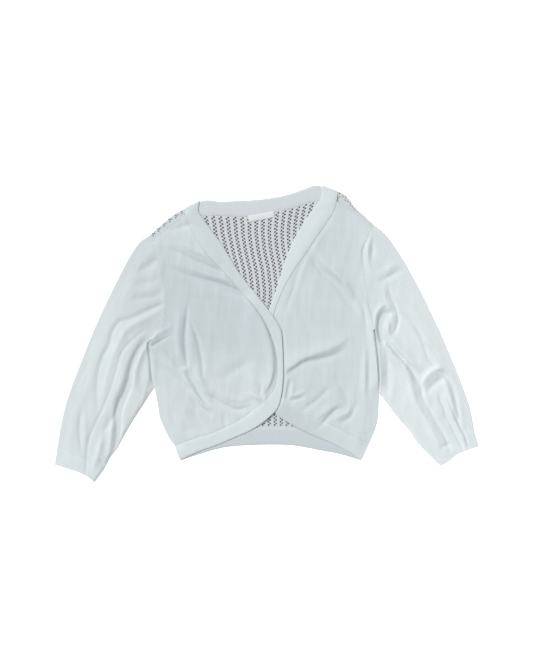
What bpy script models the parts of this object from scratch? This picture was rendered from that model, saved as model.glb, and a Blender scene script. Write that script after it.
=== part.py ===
"""Cropped cardigan lying flat on its back panel, as closed cloth solids.

Lengths in the tables are millimetres; the meshes are metres, +Z up, +Y toward the collar.
Sides are the wearer's, so the right half lies at -X.
"""
from collections import namedtuple

import bmesh
import bpy
import numpy as np

MM = 0.001

# Cloth thicknesses and the space left between neighbours
PANEL_WALL = 1.4
BACK_WALL = 1.2
WALE_RISE = 0.4
BAND_WALL = 2.2
CUFF_WALL = 1.8
LABEL_WALL = 1.0
GAP = 0.3
SIDE_GAP = 0.4
SLEEVE_GAP = 0.8
CUFF_GAP = 0.7
TOUCHING_KNOT = 3

# Heights of the layers that lie on the back, on a back band and on the left front band
ON_BACK = BACK_WALL + WALE_RISE + GAP
ON_BACK_BAND = BAND_WALL + GAP
ON_LEFT_BAND = ON_BACK + BAND_WALL + GAP
ON_CUFF_BACK = CUFF_WALL + 0.5

# General swell of the upper layers and the narrowest fold that the mesh carries
LOFT = 2.4
NARROWEST_FOLD = 8.0
FADE = 0.2
FOLD_POINTS = 13
SOFTNESS = 0.5

# Widths over which the swell comes down at the edges of a side, and where the right band hides the left front
FREE_EDGE = 12
SLEEVE_EDGE = 16
SHOULDER_EDGE = 14
COVER_START = 13
COVER_SLOPE = 18

# How far from its middle a band below still holds up the cloth, and the slope beside it
BAND_REACH = 36
BAND_SLOPE = 16
STACK_REACH = 53
STACK_SLOPE = 26

# Rounded edges of bands and tubes, the angle that stays sharp, and how matt the cloths are
FREE_DROP = 0.9
FREE_COLUMN = 1.8
STRIP_SHARES = (0.0, 0.3, 0.62)
TUBE_ROUNDING = 0.3
TUBE_COLUMN = 1.2
TUBE_OVERLAP = 0.2
SHARP_ANGLE = 0.9
MATT = 0.9
SATIN = 0.6

# A front band's first sections, which turn down to the neckband, with the height of the first and a drop
BAND_TURN_AT = (0.0, 0.15, 0.4)
BAND_TURN_SHARE = 0.6
BAND_TURN_DROP = 0.3

# Evening out of a sleeve's mesh
RELAXING = 1500
RELAX_STEP = 0.8

# Mesh divisions
FRONT_COLUMNS = 14
ARM_ROWS = 13
SIDE_ROWS = 17
SHOULDER_COLUMNS = 12
NECK_COLUMNS = 42
HEM_COLUMNS = 30
BACK_ARM_ROWS = 6
BACK_SIDE_ROWS = 6
SLEEVE_RINGS = 26
TOUCHING_RINGS = 6
ACROSS = 48
SLEEVE_TOP = 12
SLEEVE_UNDER = 6
CUFF_RINGS = 3

# Strips: one row per cross-section, the sewn edge first and the free edge second
Section = namedtuple("Section", "seam_x seam_y free_x free_y")

# Right front band, from the shoulder fold to the side seam
RIGHT_BAND = [
    Section(-148, 225, -120, 240),
    Section(-146, 213, -122, 218),
    Section(-136, 191, -110, 200),
    Section(-104, 140, -79, 157),
    Section(-69, 104, -48, 107),
    Section(-50, 81, -32, 86),
    Section(-32, 61, -15, 65),
    Section(-17, 43, 1, 45),
    Section(-4, 23, 15, 25),
    Section(6, 2, 26, 4),
    Section(15, -23, 29, -23),
    Section(20, -52, 30, -52),
    Section(19, -79, 30, -83),
    Section(13, -103, 27, -110),
    Section(-1, -121, 20, -135),
    Section(-19, -135, 3, -153),
    Section(-42, -152, -25, -173),
    Section(-69, -167, -58, -188),
    Section(-98, -180, -91, -202),
    Section(-127, -189, -120, -212),
    Section(-165, -203, -156, -229),
]
RIGHT_CORNER = 14

# Left front band; sections 8 to 12 lie under the right front
LEFT_BAND = [
    Section(127, 257, 100, 267),
    Section(125, 236, 99, 245),
    Section(120, 220, 89, 230),
    Section(107, 199, 74, 209),
    Section(94, 180, 58, 184),
    Section(68, 141, 37, 139),
    Section(43, 104, 23, 97),
    Section(24, 67, 10, 56),
    Section(12, 32, -5, 23),
    Section(15, -25, -8, -27),
    Section(18, -85, -4, -94),
    Section(22, -108, 3, -124),
    Section(33, -126, 20, -148),
    Section(53, -138, 40, -162),
    Section(75, -149, 66, -176),
    Section(100, -159, 91, -187),
    Section(129, -172, 118, -198),
    Section(158, -187, 146, -212),
    Section(184, -201, 171, -229),
]
LEFT_CORNER = 12
FIRST_HIDDEN = 7
LAST_HIDDEN = 12

# Back neckband, from the right shoulder to the left
NECK_BAND = [
    Section(-144, 220, -121, 236),
    Section(-133, 214, -116, 238),
    Section(-120, 213, -111, 239),
    Section(-84, 212, -84, 237),
    Section(-57, 211, -57, 238),
    Section(-30, 210, -32, 239),
    Section(-4, 214, -8, 241),
    Section(44, 225, 37, 249),
    Section(80, 236, 75, 262),
    Section(94, 239, 87, 266),
    Section(110, 246, 93, 266),
    Section(122, 253, 101, 262.5),
]

# Back hem band, from the right side seam to the left
HEM_BAND = [
    Section(-162, -205, -153, -229),
    Section(-125, -191, -120, -218),
    Section(-82, -178, -76, -206),
    Section(-32, -173, -30, -202),
    Section(10, -172, 10, -201),
    Section(44, -173, 42, -202),
    Section(102, -183, 96, -211),
    Section(136, -190, 132, -218),
    Section(181, -203, 169, -229),
]

# Plan curves of the panels and sleeves. A sleeve lies against the side as far as the side's knot 3
Point = namedtuple("Point", "x y")

RIGHT_ARMHOLE = [
    Point(-212, 175), Point(-207, 164), Point(-202, 142), Point(-194, 119), Point(-188, 95), Point(-184, 68),
    Point(-184, 45), Point(-186, 23), Point(-194, 4), Point(-204, -10), Point(-212, -18),
]
RIGHT_SIDE = [
    Point(-212, -18), Point(-209, -49), Point(-206, -81), Point(-202, -99), Point(-197, -126),
    Point(-192, -153), Point(-183, -175), Point(-172, -195), Point(-165, -203),
]
RIGHT_SLEEVE_OUTER = [
    Point(-212, 175), Point(-226, 166), Point(-240, 148), Point(-258, 116), Point(-285, 62), Point(-310, 8),
    Point(-336, -57), Point(-356, -110), Point(-370, -164), Point(-377, -207),
]
RIGHT_SLEEVE_INNER = [
    Point(-202, -99), Point(-222, -131), Point(-237, -154), Point(-256, -186), Point(-268, -208),
    Point(-278, -221), Point(-293, -248),
]
RIGHT_CUFF_OUTER = [Point(-377, -207), Point(-382, -237)]
RIGHT_CUFF_INNER = [Point(-293, -248), Point(-308, -269)]
RIGHT_CUFF_SEAM = [Point(-377, -207), Point(-352, -215), Point(-322, -228), Point(-293, -248)]
RIGHT_CUFF_EDGE = [Point(-382, -237), Point(-354, -245), Point(-328, -255), Point(-308, -269)]
RIGHT_SHOULDER_FOLD = [Point(-212, 175), Point(-192, 193), Point(-170, 211), Point(-149.5, 223.5)]
RIGHT_SHOULDER_SEAM = [
    Point(-207, 164), Point(-192, 177), Point(-174, 191), Point(-156, 205), Point(-146, 213),
]

LEFT_ARMHOLE = [
    Point(194, 194), Point(190, 188), Point(182, 171), Point(176, 157), Point(172, 140), Point(172, 122),
    Point(176, 104), Point(179, 86), Point(183, 65), Point(186, 45), Point(190, 27), Point(194, 4),
]
LEFT_SIDE = [
    Point(194, 4), Point(199, -31), Point(202, -67), Point(203, -110), Point(202, -135), Point(200, -158),
    Point(195, -176), Point(184, -201),
]
LEFT_SLEEVE_OUTER = [
    Point(194, 194), Point(210, 182), Point(235, 149), Point(267, 95), Point(299, 31), Point(328, -34),
    Point(354, -99), Point(368, -142), Point(374, -177),
]
LEFT_SLEEVE_INNER = [
    Point(203, -110), Point(219, -131), Point(235, -153), Point(255, -175), Point(269, -196),
    Point(292, -220),
]
LEFT_CUFF_OUTER = [Point(374, -177), Point(382, -204)]
LEFT_CUFF_INNER = [Point(292, -220), Point(312, -240)]
LEFT_CUFF_SEAM = [Point(374, -177), Point(350, -186), Point(325, -202), Point(292, -220)]
LEFT_CUFF_EDGE = [Point(382, -204), Point(359, -212), Point(345, -217), Point(330, -229), Point(312, -240)]
LEFT_SHOULDER_FOLD = [
    Point(194, 194), Point(184, 203), Point(174, 213), Point(163, 222), Point(156, 230), Point(150, 239),
    Point(141, 249), Point(128.5, 255.5),
]
LEFT_SHOULDER_SEAM = [
    Point(190, 188), Point(174, 205), Point(161, 214), Point(150, 220), Point(138, 230), Point(125, 236),
]

LABEL = [Point(-33, 211), Point(13.5, 219.5), Point(13.5, 208.5), Point(-32, 199.5)]

# Folds: a ridge, or with a negative height a trough, along a curve through three points
Fold = namedtuple("Fold", "start_x start_y middle_x middle_y end_x end_y left_width right_width height")

RIGHT_FOLDS = [
    Fold(-197, 157, -139, 134, -82, 108, 4, 5, -2.2),
    Fold(-179, 121, -107, 94, -39, 61, 5, 6, -4),
    Fold(-48, 65, -14, 23, 5, -27, 4, 18, 3.6),
    Fold(-1, -6, 8, -59, -10, -108, 4, 18, 3.8),
    Fold(-148, 56, -152, -3, -148, -61, 4, 4, -3.8),
    Fold(-159, 41, -162, -5, -155, -50, 4, 9, 2.2),
    Fold(-143, 34, -121, -21, -115, -81, 4, 4, -2.6),
    Fold(-209, -22, -190, -10, -170, 1, 3, 4, -3),
    Fold(-212, -9, -189, 4, -168, 20, 7, 4, 2.4),
    Fold(-190, -23, -170, -45, -147, -61, 3, 3, -2.4),
    Fold(-145, -63, -128, -98, -104, -128, 4, 3, -3.6),
    Fold(-127, -70, -116, -96, -98, -117, 8, 4, 2.4),
    Fold(-206, -45, -152, -90, -109, -144, 4, 6, -2.4),
    Fold(-114, -104, -87, -122, -57, -136, 3, 4, -3.4),
    Fold(-70, -131, -40, -129, -8, -124, 3, 4, -3.2),
    Fold(-109, -94, -63, -118, -12, -121, 7, 4, 2.2),
    Fold(-237, 112, -214, 122, -194, 137, 6, 6, -2.2),
    Fold(-183, 58, -231, 35, -275, 8, 4, 4, -3.2),
    Fold(-261, 23, -286, -22, -305, -71, 4, 4, -3.2),
    Fold(-300, -51, -308, -103, -310, -157, 4, 4, -2),
    Fold(-192, 43, -227, 24, -259, -0, 8, 6, 2.6),
    Fold(-248, 12, -270, -22, -284, -60, 8, 6, 2.6),
    Fold(-279, -45, -290, -84, -294, -124, 8, 6, 2),
    Fold(-217, 11, -259, -28, -277, -82, 3, 3, -2),
    Fold(-271, -60, -289, -114, -312, -166, 3, 3, -2.6),
    Fold(-302, -146, -323, -199, -328, -256, 3, 3, -2.8),
    Fold(-224, 0, -265, -82, -302, -167, 5, 6, 3.8),
    Fold(-217, -2, -253, -91, -298, -175, 4, 5, -5),
    Fold(-267, -128, -271, -161, -274, -195, 4, 4, -4),
    Fold(-273, -181, -277, -215, -294, -243, 4, 4, -4),
    Fold(-195, 4, -223, -23, -240, -57, 9, 3, 4),
    Fold(-235, -43, -243, -80, -224, -112, 9, 3, 4),
    Fold(-294, -178, -306, -217, -316, -257, 6, 6, 2.6),
]

LEFT_FOLDS = [
    Fold(66, 157, 116, 98, 161, 34, 5, 6, -3.2),
    Fold(26, -79, 52, -48, 90, -31, 14, 7, 4.4),
    Fold(74, -36, 113, -22, 148, -0, 14, 7, 4.4),
    Fold(29, -79, 56, -57, 89, -46, 4, 6, -3.2),
    Fold(75, -49, 109, -40, 141, -25, 4, 6, -2.2),
    Fold(57, -140, 88, -118, 118, -94, 5, 5, -2.2),
    Fold(93, -164, 113, -145, 138, -133, 3, 4, -4),
    Fold(82, -158, 106, -137, 136, -124, 8, 4, 3.6),
    Fold(39, -81, 36, -101, 32, -121, 3, 3, -2.6),
    Fold(187, 182, 179, 148, 184, 113, 3, 3, 3),
    Fold(195, 93, 222, 106, 249, 117, 4, 5, -2.6),
    Fold(216, 94, 230, 45, 223, -2, 3, 3, -3.6),
    Fold(226, 38, 202, 18, 208, -18, 3, 3, -5.6),
    Fold(215, 27, 214, 9, 219, -9, 4, 4, 2.4),
    Fold(212, 54, 198, 39, 194, 20, 4, 4, 2.2),
    Fold(208, -7, 236, -44, 266, -79, 4, 4, -5.4),
    Fold(256, -63, 272, -106, 291, -147, 4, 4, -5),
    Fold(282, -131, 306, -171, 323, -214, 4, 4, -4),
    Fold(222, -9, 250, -42, 284, -70, 7, 5, 2.6),
    Fold(280, -106, 296, -83, 321, -79, 5, 5, -3),
    Fold(278, -16, 299, -58, 330, -91, 3, 3, -3),
    Fold(320, -76, 337, -118, 344, -164, 3, 3, -3.2),
    Fold(294, -31, 317, -61, 339, -92, 5, 4, 2.2),
    Fold(332, -78, 346, -114, 352, -151, 5, 4, 2.2),
    Fold(305, -104, 327, -157, 352, -209, 3, 3, -4.4),
    Fold(316, -106, 335, -155, 357, -203, 3, 3, 2.8),
    Fold(327, -124, 345, -163, 361, -203, 3, 3, -2.8),
    Fold(188, 5, 194, -54, 192, -113, 3, 9, 3.6),
    Fold(204, -9, 209, -59, 209, -110, 5, 5, -2.6),
]

# Turned edge of a sleeve or shoulder: distance in from the outline and height
FoldRow = namedtuple("FoldRow", "outer_in outer_z inner_in inner_z")
SHOULDER_TURN = [
    FoldRow(1.6, 0.0, 1.6, BACK_WALL),
    FoldRow(0.45, 0.5, 1.25, 1.3),
    FoldRow(0.0, 1.65, 1.1, 1.6),
    FoldRow(0.45, 2.8, 1.25, 1.85),
    FoldRow(1.6, ON_BACK + PANEL_WALL, 1.6, ON_BACK),
]
TURN_SHARES = (0.55, 1.0)


def smooth(knots, at):
    """Points of a curve through the knots.

    Args:
        knots: rows of coordinates.
        at: knot numbers, whole or in between.

    Returns:
        One row of coordinates for each number.
    """
    knots = np.array(knots, float)
    steps = np.diff(knots, axis=0)
    lengths = np.linalg.norm(steps, axis=1)[:, None]
    slopes = steps / lengths
    inner = (slopes[1:] * lengths[:-1] + slopes[:-1] * lengths[1:]) / (lengths[1:] + lengths[:-1])
    tangents = np.concatenate([slopes[:1], inner, slopes[-1:]])
    at = np.asarray(at, float)
    index = np.clip(at.astype(int), 0, len(steps) - 1)
    t = (at - index)[:, None]
    reach = lengths[index]
    return (
        (2 * t**3 - 3 * t**2 + 1) * knots[index]
        + (t**3 - 2 * t**2 + t) * reach * tangents[index]
        + (3 * t**2 - 2 * t**3) * knots[index + 1]
        + (t**3 - t**2) * reach * tangents[index + 1]
    )


def spread(knots, first, last, count):
    """Knot numbers that divide the curve between two knots into equal lengths."""
    at = np.linspace(first, last, 400)
    run = travelled(smooth(knots, at))
    return np.interp(np.linspace(0, run[-1], count + 1), run, at)


def travelled(points):
    """Length along a line up to each of its points."""
    steps = np.linalg.norm(np.diff(points, axis=0), axis=1)
    return np.concatenate([[0], np.cumsum(steps)])


def even(knots, count, first=0):
    """Evenly spaced points along the curve through the knots."""
    return smooth(knots, spread(knots, first, len(knots) - 1, count))


def sewn(armhole, count):
    """Evenly spaced points along the armhole seam, which ends at the last knot but one."""
    return smooth(armhole, spread(armhole, 0, len(armhole) - 2, count))


def seam_of(strip):
    """Sewn edge of a strip."""
    return [(row.seam_x, row.seam_y) for row in strip]


def free_of(strip):
    """Free edge of a strip."""
    return [(row.free_x, row.free_y) for row in strip]


def middle_of(strip, first=0, last=None):
    """Centre line of a strip between two sections."""
    rows = strip[first:last]
    return np.array([((row.seam_x + row.free_x) / 2, (row.seam_y + row.free_y) / 2) for row in rows])


def patch(top, bottom, left, right):
    """Plan grid between four edges.

    Args:
        top, bottom: points of the first and last rows.
        left, right: points of the first and last columns.

    Returns:
        Array of rows, columns and two coordinates.
    """
    down = np.linspace(0, 1, len(left))[:, None, None]
    over = np.linspace(0, 1, len(top))[None, :, None]
    between_sides = (1 - over) * left[:, None] + over * right[:, None]
    between_ends = (1 - down) * top[None] + down * bottom[None]
    first = (1 - over) * top[0] + over * top[-1]
    last = (1 - over) * bottom[0] + over * bottom[-1]
    return between_sides + between_ends - (1 - down) * first - down * last


def relax(grid, rounds):
    """Evens out the inside of a plan grid so that its cells keep their order round a notch in an edge."""
    grid = grid.copy()
    for _ in range(rounds):
        down = (grid[2:, 1:-1] - grid[:-2, 1:-1]) / 2
        over = (grid[1:-1, 2:] - grid[1:-1, :-2]) / 2
        mixed = (grid[2:, 2:] - grid[2:, :-2] - grid[:-2, 2:] + grid[:-2, :-2]) / 4
        along = np.sum(over**2, axis=2, keepdims=True)
        cross = np.sum(down * over, axis=2, keepdims=True)
        across = np.sum(down**2, axis=2, keepdims=True)
        rows = grid[2:, 1:-1] + grid[:-2, 1:-1]
        columns = grid[1:-1, 2:] + grid[1:-1, :-2]
        aim = (along * rows + across * columns - 2 * cross * mixed) / (2 * (along + across))
        grid[1:-1, 1:-1] += RELAX_STEP * (aim - grid[1:-1, 1:-1])
    return grid


def toward(start, end, distance):
    """Points moved from start toward end by a distance."""
    step = end - start
    return start + step / np.linalg.norm(step, axis=-1, keepdims=True) * distance


def aside(line, inner, distance):
    """Moves a line square to itself, to the side where the inner line lies."""
    tangent = np.gradient(line, axis=0)
    tangent /= np.linalg.norm(tangent, axis=1, keepdims=True)
    normal = np.stack([-tangent[:, 1], tangent[:, 0]], axis=1)
    inward = np.sum(normal * (inner - line), axis=1).sum()
    return line + normal * np.sign(inward) * distance


def inset(grid, top=0.0, bottom=0.0, left=0.0, right=0.0):
    """Draws the four edges of a plan grid in by distances in millimetres."""
    moved = grid.copy()
    moved[0] += aside(grid[0], grid[1], top) - grid[0]
    moved[-1] += aside(grid[-1], grid[-2], bottom) - grid[-1]
    moved[:, 0] += aside(grid[:, 0], grid[:, 1], left) - grid[:, 0]
    moved[:, -1] += aside(grid[:, -1], grid[:, -2], right) - grid[:, -1]
    return moved


def nearest(line, plan):
    """Nearest place on a line for each plan point.

    Returns:
        The distance, which side it is on (+1 left of the line's direction) and how far along, 0 to 1.
    """
    start = line[:-1]
    step = np.diff(line, axis=0)
    size = np.sum(step**2, axis=1)
    away = plan[:, None] - start[None]
    share = np.clip(np.sum(away * step, axis=2) / size, 0, 1)
    gap = away - share[:, :, None] * step
    distance = np.sqrt(np.sum(gap**2, axis=2))
    best = np.argmin(distance, axis=1)
    every = np.arange(len(plan))
    cross = step[best, 0] * away[every, best, 1] - step[best, 1] * away[every, best, 0]
    run = travelled(line)
    along = (run[best] + share[every, best] * np.sqrt(size[best])) / run[-1]
    return distance[every, best], np.where(cross >= 0, 1.0, -1.0), along


def ease(value):
    """Smooth step from 0 to 1."""
    value = np.clip(value, 0, 1)
    return value * value * (3 - 2 * value)


def fold_height(folds, plan):
    """Sum of the folds at the plan points."""
    total = np.zeros(len(plan))
    t = np.linspace(0, 1, FOLD_POINTS)[:, None]
    for fold in folds:
        start = np.array([fold.start_x, fold.start_y])
        middle = np.array([fold.middle_x, fold.middle_y])
        end = np.array([fold.end_x, fold.end_y])
        path = start * (2 * t - 1) * (t - 1) + middle * 4 * t * (1 - t) + end * t * (2 * t - 1)
        distance, side, along = nearest(path, plan)
        width = np.where(side > 0, fold.left_width, fold.right_width)
        width = np.maximum(width, NARROWEST_FOLD)
        ends = ease(along / FADE) * ease((1 - along) / FADE)
        total += fold.height * ends * np.exp(-((distance / width) ** 2))
    return total


class Half:
    """One side of the cardigan: how its upper layers rise above what lies under them."""

    def __init__(self, folds, edges, cover=None, stacked=None):
        """Keeps the side's tables.

        Args:
            folds: rows of Fold.
            edges: pairs of a line where the cloth comes down and the width over which it does.
            cover: free edge of the band that hides part of this half, or None.
            stacked: centre line of the hidden band that this half passes over, or None.
        """
        self.folds = folds
        self.edges = edges
        self.cover = cover
        self.stacked = stacked

    def lift(self, plan):
        """Rise of the cloth at the plan points, never below nought."""
        swell = LOFT + fold_height(self.folds, plan)
        swell = (swell + np.sqrt(swell**2 + SOFTNESS)) / 2
        for line, width in self.edges:
            distance = nearest(line, plan)[0]
            swell = swell * ease(distance / width)
        if self.cover is not None:
            distance, side, along = nearest(self.cover, plan)
            swell = swell * ease((distance * side - COVER_START) / COVER_SLOPE)
        return swell

    def floor(self, plan):
        """Underside of the upper layer where the cloth has no fold."""
        height = np.full(len(plan), ON_BACK)
        for strip in (NECK_BAND, HEM_BAND):
            distance = nearest(middle_of(strip), plan)[0]
            share = ease((BAND_REACH - distance) / BAND_SLOPE)
            height = np.maximum(height, ON_BACK + (ON_BACK_BAND - ON_BACK) * share)
        if self.stacked is not None:
            distance = nearest(self.stacked, plan)[0]
            share = ease((STACK_REACH - distance) / STACK_SLOPE)
            height = np.maximum(height, ON_BACK + (ON_LEFT_BAND - ON_BACK) * share)
        return height

    def under(self, grid):
        """Height of the upper layer's underside over a plan grid."""
        plan = grid.reshape(-1, 2)
        return (self.floor(plan) + self.lift(plan)).reshape(grid.shape[:2])


def fine(knots):
    """Closely spaced points of a curve, for distances."""
    return even(knots, 10 * len(knots))


def make_right():
    """Right half: it passes over the hidden part of the left band."""
    edges = [
        (fine(free_of(RIGHT_BAND)), FREE_EDGE),
        (fine(RIGHT_SLEEVE_OUTER + RIGHT_CUFF_OUTER[1:]), SLEEVE_EDGE),
        (fine(RIGHT_SLEEVE_INNER + RIGHT_CUFF_INNER[1:]), FREE_EDGE),
        (fine(RIGHT_SIDE), FREE_EDGE),
        (fine(RIGHT_SHOULDER_FOLD), SHOULDER_EDGE),
        (fine(seam_of(RIGHT_BAND[:1]) + free_of(RIGHT_BAND[:1])), SHOULDER_EDGE),
    ]
    stacked = middle_of(LEFT_BAND, FIRST_HIDDEN, LAST_HIDDEN + 1)
    return Half(RIGHT_FOLDS, edges, stacked=stacked)


def make_left():
    """Left half: the part under the right front band stays flat."""
    edges = [
        (fine(free_of(LEFT_BAND)), FREE_EDGE),
        (fine(LEFT_SLEEVE_OUTER + LEFT_CUFF_OUTER[1:]), SLEEVE_EDGE),
        (fine(LEFT_SLEEVE_INNER + LEFT_CUFF_INNER[1:]), FREE_EDGE),
        (fine(LEFT_SIDE), FREE_EDGE),
        (fine(LEFT_SHOULDER_FOLD), SHOULDER_EDGE),
        (fine(seam_of(LEFT_BAND[:1]) + free_of(LEFT_BAND[:1])), SHOULDER_EDGE),
    ]
    return Half(LEFT_FOLDS, edges, cover=fine(free_of(RIGHT_BAND)))


def raised(grid, height):
    """Plan grid with its heights as third coordinate."""
    height = np.broadcast_to(height, grid.shape[:2])
    return np.concatenate([grid, height[:, :, None]], axis=2)


def front(half, shoulder, armhole, side, strip, corner):
    """Skins of a front panel.

    Args:
        half: the side of the cardigan.
        shoulder: knots of the shoulder seam, from the armhole to the band.
        armhole, side: knots of the outer edge.
        strip: sections of its band.
        corner: section at which the band turns into the hem.

    Returns:
        Outer and inner skins.
    """
    rows = ARM_ROWS + SIDE_ROWS
    seam = seam_of(strip)
    top = even(shoulder, FRONT_COLUMNS)
    left = np.concatenate([even(armhole, ARM_ROWS, first=1), even(side, SIDE_ROWS)[1:]])
    right = smooth(seam, spread(seam, 1, corner, rows))
    bottom = smooth(seam, spread(seam, corner, len(seam) - 1, FRONT_COLUMNS))[::-1]
    left[0] = top[0]
    right[0] = top[-1]
    left[-1] = bottom[0]
    grid = patch(top, bottom, left, right)
    grid = inset(grid, top=GAP, bottom=GAP, left=SIDE_GAP, right=GAP)
    under = half.under(grid)
    return raised(grid, under + PANEL_WALL), raised(grid, under)


def front_band(half, strip, corner):
    """Skins of a front band, its first rows turned down to the neckband at the shoulder fold."""
    seam = seam_of(strip)
    rows = ARM_ROWS + SIDE_ROWS
    at = np.concatenate([
        BAND_TURN_AT,
        spread(seam, 1, corner, rows),
        spread(seam, corner, len(seam) - 1, FRONT_COLUMNS)[1:],
    ])
    grid = strip_grid(strip, at)
    under = half.under(grid)
    over = under + BAND_WALL
    over[:, -1] -= FREE_DROP
    under[0] = 0.0
    over[0] = BAND_TURN_SHARE * over[2]
    over[1] = (over[1] + over[2]) / 2 - BAND_TURN_DROP
    return raised(grid, over), raised(grid, under)


def strip_grid(strip, at):
    """Plan grid of a strip at the given section numbers, with a narrow last column at the free edge."""
    seam = smooth(seam_of(strip), at)
    free = smooth(free_of(strip), at)
    width = np.linalg.norm(free - seam, axis=1)
    columns = []
    for share in STRIP_SHARES:
        columns.append(seam + share * (free - seam))
    columns.append(free + (seam - free) * (FREE_COLUMN / width)[:, None])
    columns.append(free)
    return np.stack(columns, axis=1)


def flat_band(strip, at):
    """Skins of a band that lies on the table."""
    grid = strip_grid(strip, at)
    over = np.full(grid.shape[:2], BAND_WALL)
    over[:, -1] -= FREE_DROP
    return raised(grid, over), raised(grid, 0.0)


def turn(fold, seam):
    """Skins of a shoulder strip: the back turned over its fold and down to the seam in front."""
    fold = even(fold, SHOULDER_COLUMNS)
    seam = even(seam, SHOULDER_COLUMNS)
    seam = toward(seam, fold, GAP)
    outer = []
    inner = []
    for row in SHOULDER_TURN:
        outer.append(raised(toward(fold, seam, row.outer_in)[None], row.outer_z)[0])
        inner.append(raised(toward(fold, seam, row.inner_in)[None], row.inner_z)[0])
    for share in TURN_SHARES:
        line = fold + share * (seam - fold)
        outer.append(raised(line[None], ON_BACK + PANEL_WALL)[0])
        inner.append(raised(line[None], ON_BACK)[0])
    outer = np.stack(outer)
    inner = np.stack(inner)
    outer[len(SHOULDER_TURN), 1:-1:2, 2] += WALE_RISE
    for skin in (outer, inner):
        skin[:, 0, :2] = toward(skin[:, 0, :2], skin[:, 1, :2], SIDE_GAP)
        skin[:, -1, :2] = toward(skin[:, -1, :2], skin[:, -2, :2], GAP)
    return outer, inner


def back():
    """Skins of the back: the flat panel with its wales and a strip turned over each shoulder."""
    right_outer, right_inner = turn(RIGHT_SHOULDER_FOLD, RIGHT_SHOULDER_SEAM[:-1] + [Point(-147.5, 212)])
    left_outer, left_inner = turn(LEFT_SHOULDER_FOLD, LEFT_SHOULDER_SEAM[:-1] + [Point(127, 236)])
    neck_seam = seam_of(NECK_BAND)
    neck = smooth(neck_seam, spread(neck_seam, 0, len(neck_seam) - 1, NECK_COLUMNS))
    neck = neck - [0, GAP]
    top = np.concatenate([right_outer[0, :, :2], neck, left_outer[0, ::-1, :2]])
    columns = len(top) - 1
    hem = even(seam_of(HEM_BAND), columns)
    hem[:, 1] += GAP
    right_edge = np.concatenate([sewn(RIGHT_ARMHOLE, BACK_ARM_ROWS), even(RIGHT_SIDE, BACK_SIDE_ROWS)])
    left_edge = np.concatenate([sewn(LEFT_ARMHOLE, BACK_ARM_ROWS), even(LEFT_SIDE, BACK_SIDE_ROWS)])
    right_edge[0] = top[0]
    left_edge[0] = top[-1]
    right_edge[-1] = hem[0]
    left_edge[-1] = hem[-1]
    grid = patch(top, hem, right_edge, left_edge)
    inside = inset(grid, left=SIDE_GAP, right=SIDE_GAP)
    inside[0] = grid[0]
    height = np.full(grid.shape[:2], BACK_WALL)
    height[1:-1, 1:-1:2] += WALE_RISE
    body = (raised(inside, 0.0), raised(inside, height))
    return [body, (right_outer, right_inner), (left_outer, left_inner)]


def tube(half, top, bottom, outer_edge, inner_edge, relaxing, wall, ceiling, gaps):
    """Skins of a flattened tube that lies on the table.

    Args:
        half: the side of the cardigan, for its folds.
        top, bottom: points of the two ends, from the outer edge to the inner.
        outer_edge, inner_edge: points of the two turned edges, one for each ring.
        relaxing: rounds of evening out.
        wall: cloth thickness.
        ceiling: underside of the upper layer where the cloth has no fold.
        gaps: distance that each end is drawn in.

    Returns:
        Outer and inner skins, with the first column repeated as the last.
    """
    grid = patch(top, bottom, outer_edge, inner_edge)
    grid = relax(grid, relaxing)
    grid = inset(grid, top=gaps[0], bottom=gaps[1], left=0.0, right=SLEEVE_GAP)
    within = inset(grid, left=wall - TUBE_OVERLAP, right=wall - TUBE_OVERLAP)
    edge_height = (ceiling + wall) / 2
    upper = np.arange(1, SLEEVE_TOP) / SLEEVE_TOP
    lower = np.arange(1, SLEEVE_UNDER) / SLEEVE_UNDER
    skins = []
    for plan_grid, cloth, rounding, underside in ((grid, wall, TUBE_ROUNDING, 0.0), (within, 0.0, 0.0, wall)):
        rows = []
        for row in plan_grid:
            near = TUBE_COLUMN / travelled(row)[-1]
            over = np.concatenate([[near], upper, [1 - near]])
            below = np.concatenate([[1 - near], lower[::-1], [near]])
            share = np.concatenate([[0], over, [1], below, [0]]) * (len(row) - 1)
            plan = np.stack([np.interp(share, np.arange(len(row)), row[:, axis]) for axis in (0, 1)], axis=1)
            height = ceiling + half.lift(plan) + cloth
            height[[1, len(over)]] -= rounding
            height[len(over) + 2:-1] = underside
            height[[0, len(over) + 1, -1]] = edge_height
            rows.append(np.concatenate([plan, height[:, None]], axis=1))
        skins.append(np.stack(rows))
    return skins


def sleeve(half, armhole, outer_edge, side, inner_edge, cuff_seam):
    """Skins of a sleeve from the armhole to the cuff seam."""
    top = sewn(armhole, ACROSS)
    touching = smooth(side, spread(side, 0, TOUCHING_KNOT, TOUCHING_RINGS))
    open_edge = even(inner_edge, SLEEVE_RINGS - TOUCHING_RINGS - 1)
    inner_points = np.concatenate([top[-1:], touching, open_edge[1:]])
    return tube(
        half, top, even(cuff_seam, ACROSS), even(outer_edge, SLEEVE_RINGS), inner_points,
        RELAXING, PANEL_WALL, ON_BACK, (SIDE_GAP, 0.0),
    )


def cuff(half, seam, edge, outer_edge, inner_edge):
    """Skins of a cuff from its seam to the open end."""
    return tube(
        half, even(seam, ACROSS), even(edge, ACROSS), even(outer_edge, CUFF_RINGS),
        even(inner_edge, CUFF_RINGS), 0, CUFF_WALL, ON_CUFF_BACK, (CUFF_GAP, 0.0),
    )


def label():
    """Skins of the label, its upper edge over the neckband seam."""
    corners = np.array(LABEL, float)
    share = np.linspace(0, 1, 5)[:, None]
    top = corners[0] + share * (corners[1] - corners[0])
    bottom = corners[3] + share * (corners[2] - corners[3])
    grid = np.stack([top, (top + bottom) / 2, bottom])
    under = np.array([ON_BACK_BAND, ON_BACK_BAND, ON_BACK])[:, None]
    return raised(grid, under + LABEL_WALL), raised(grid, under)


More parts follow.
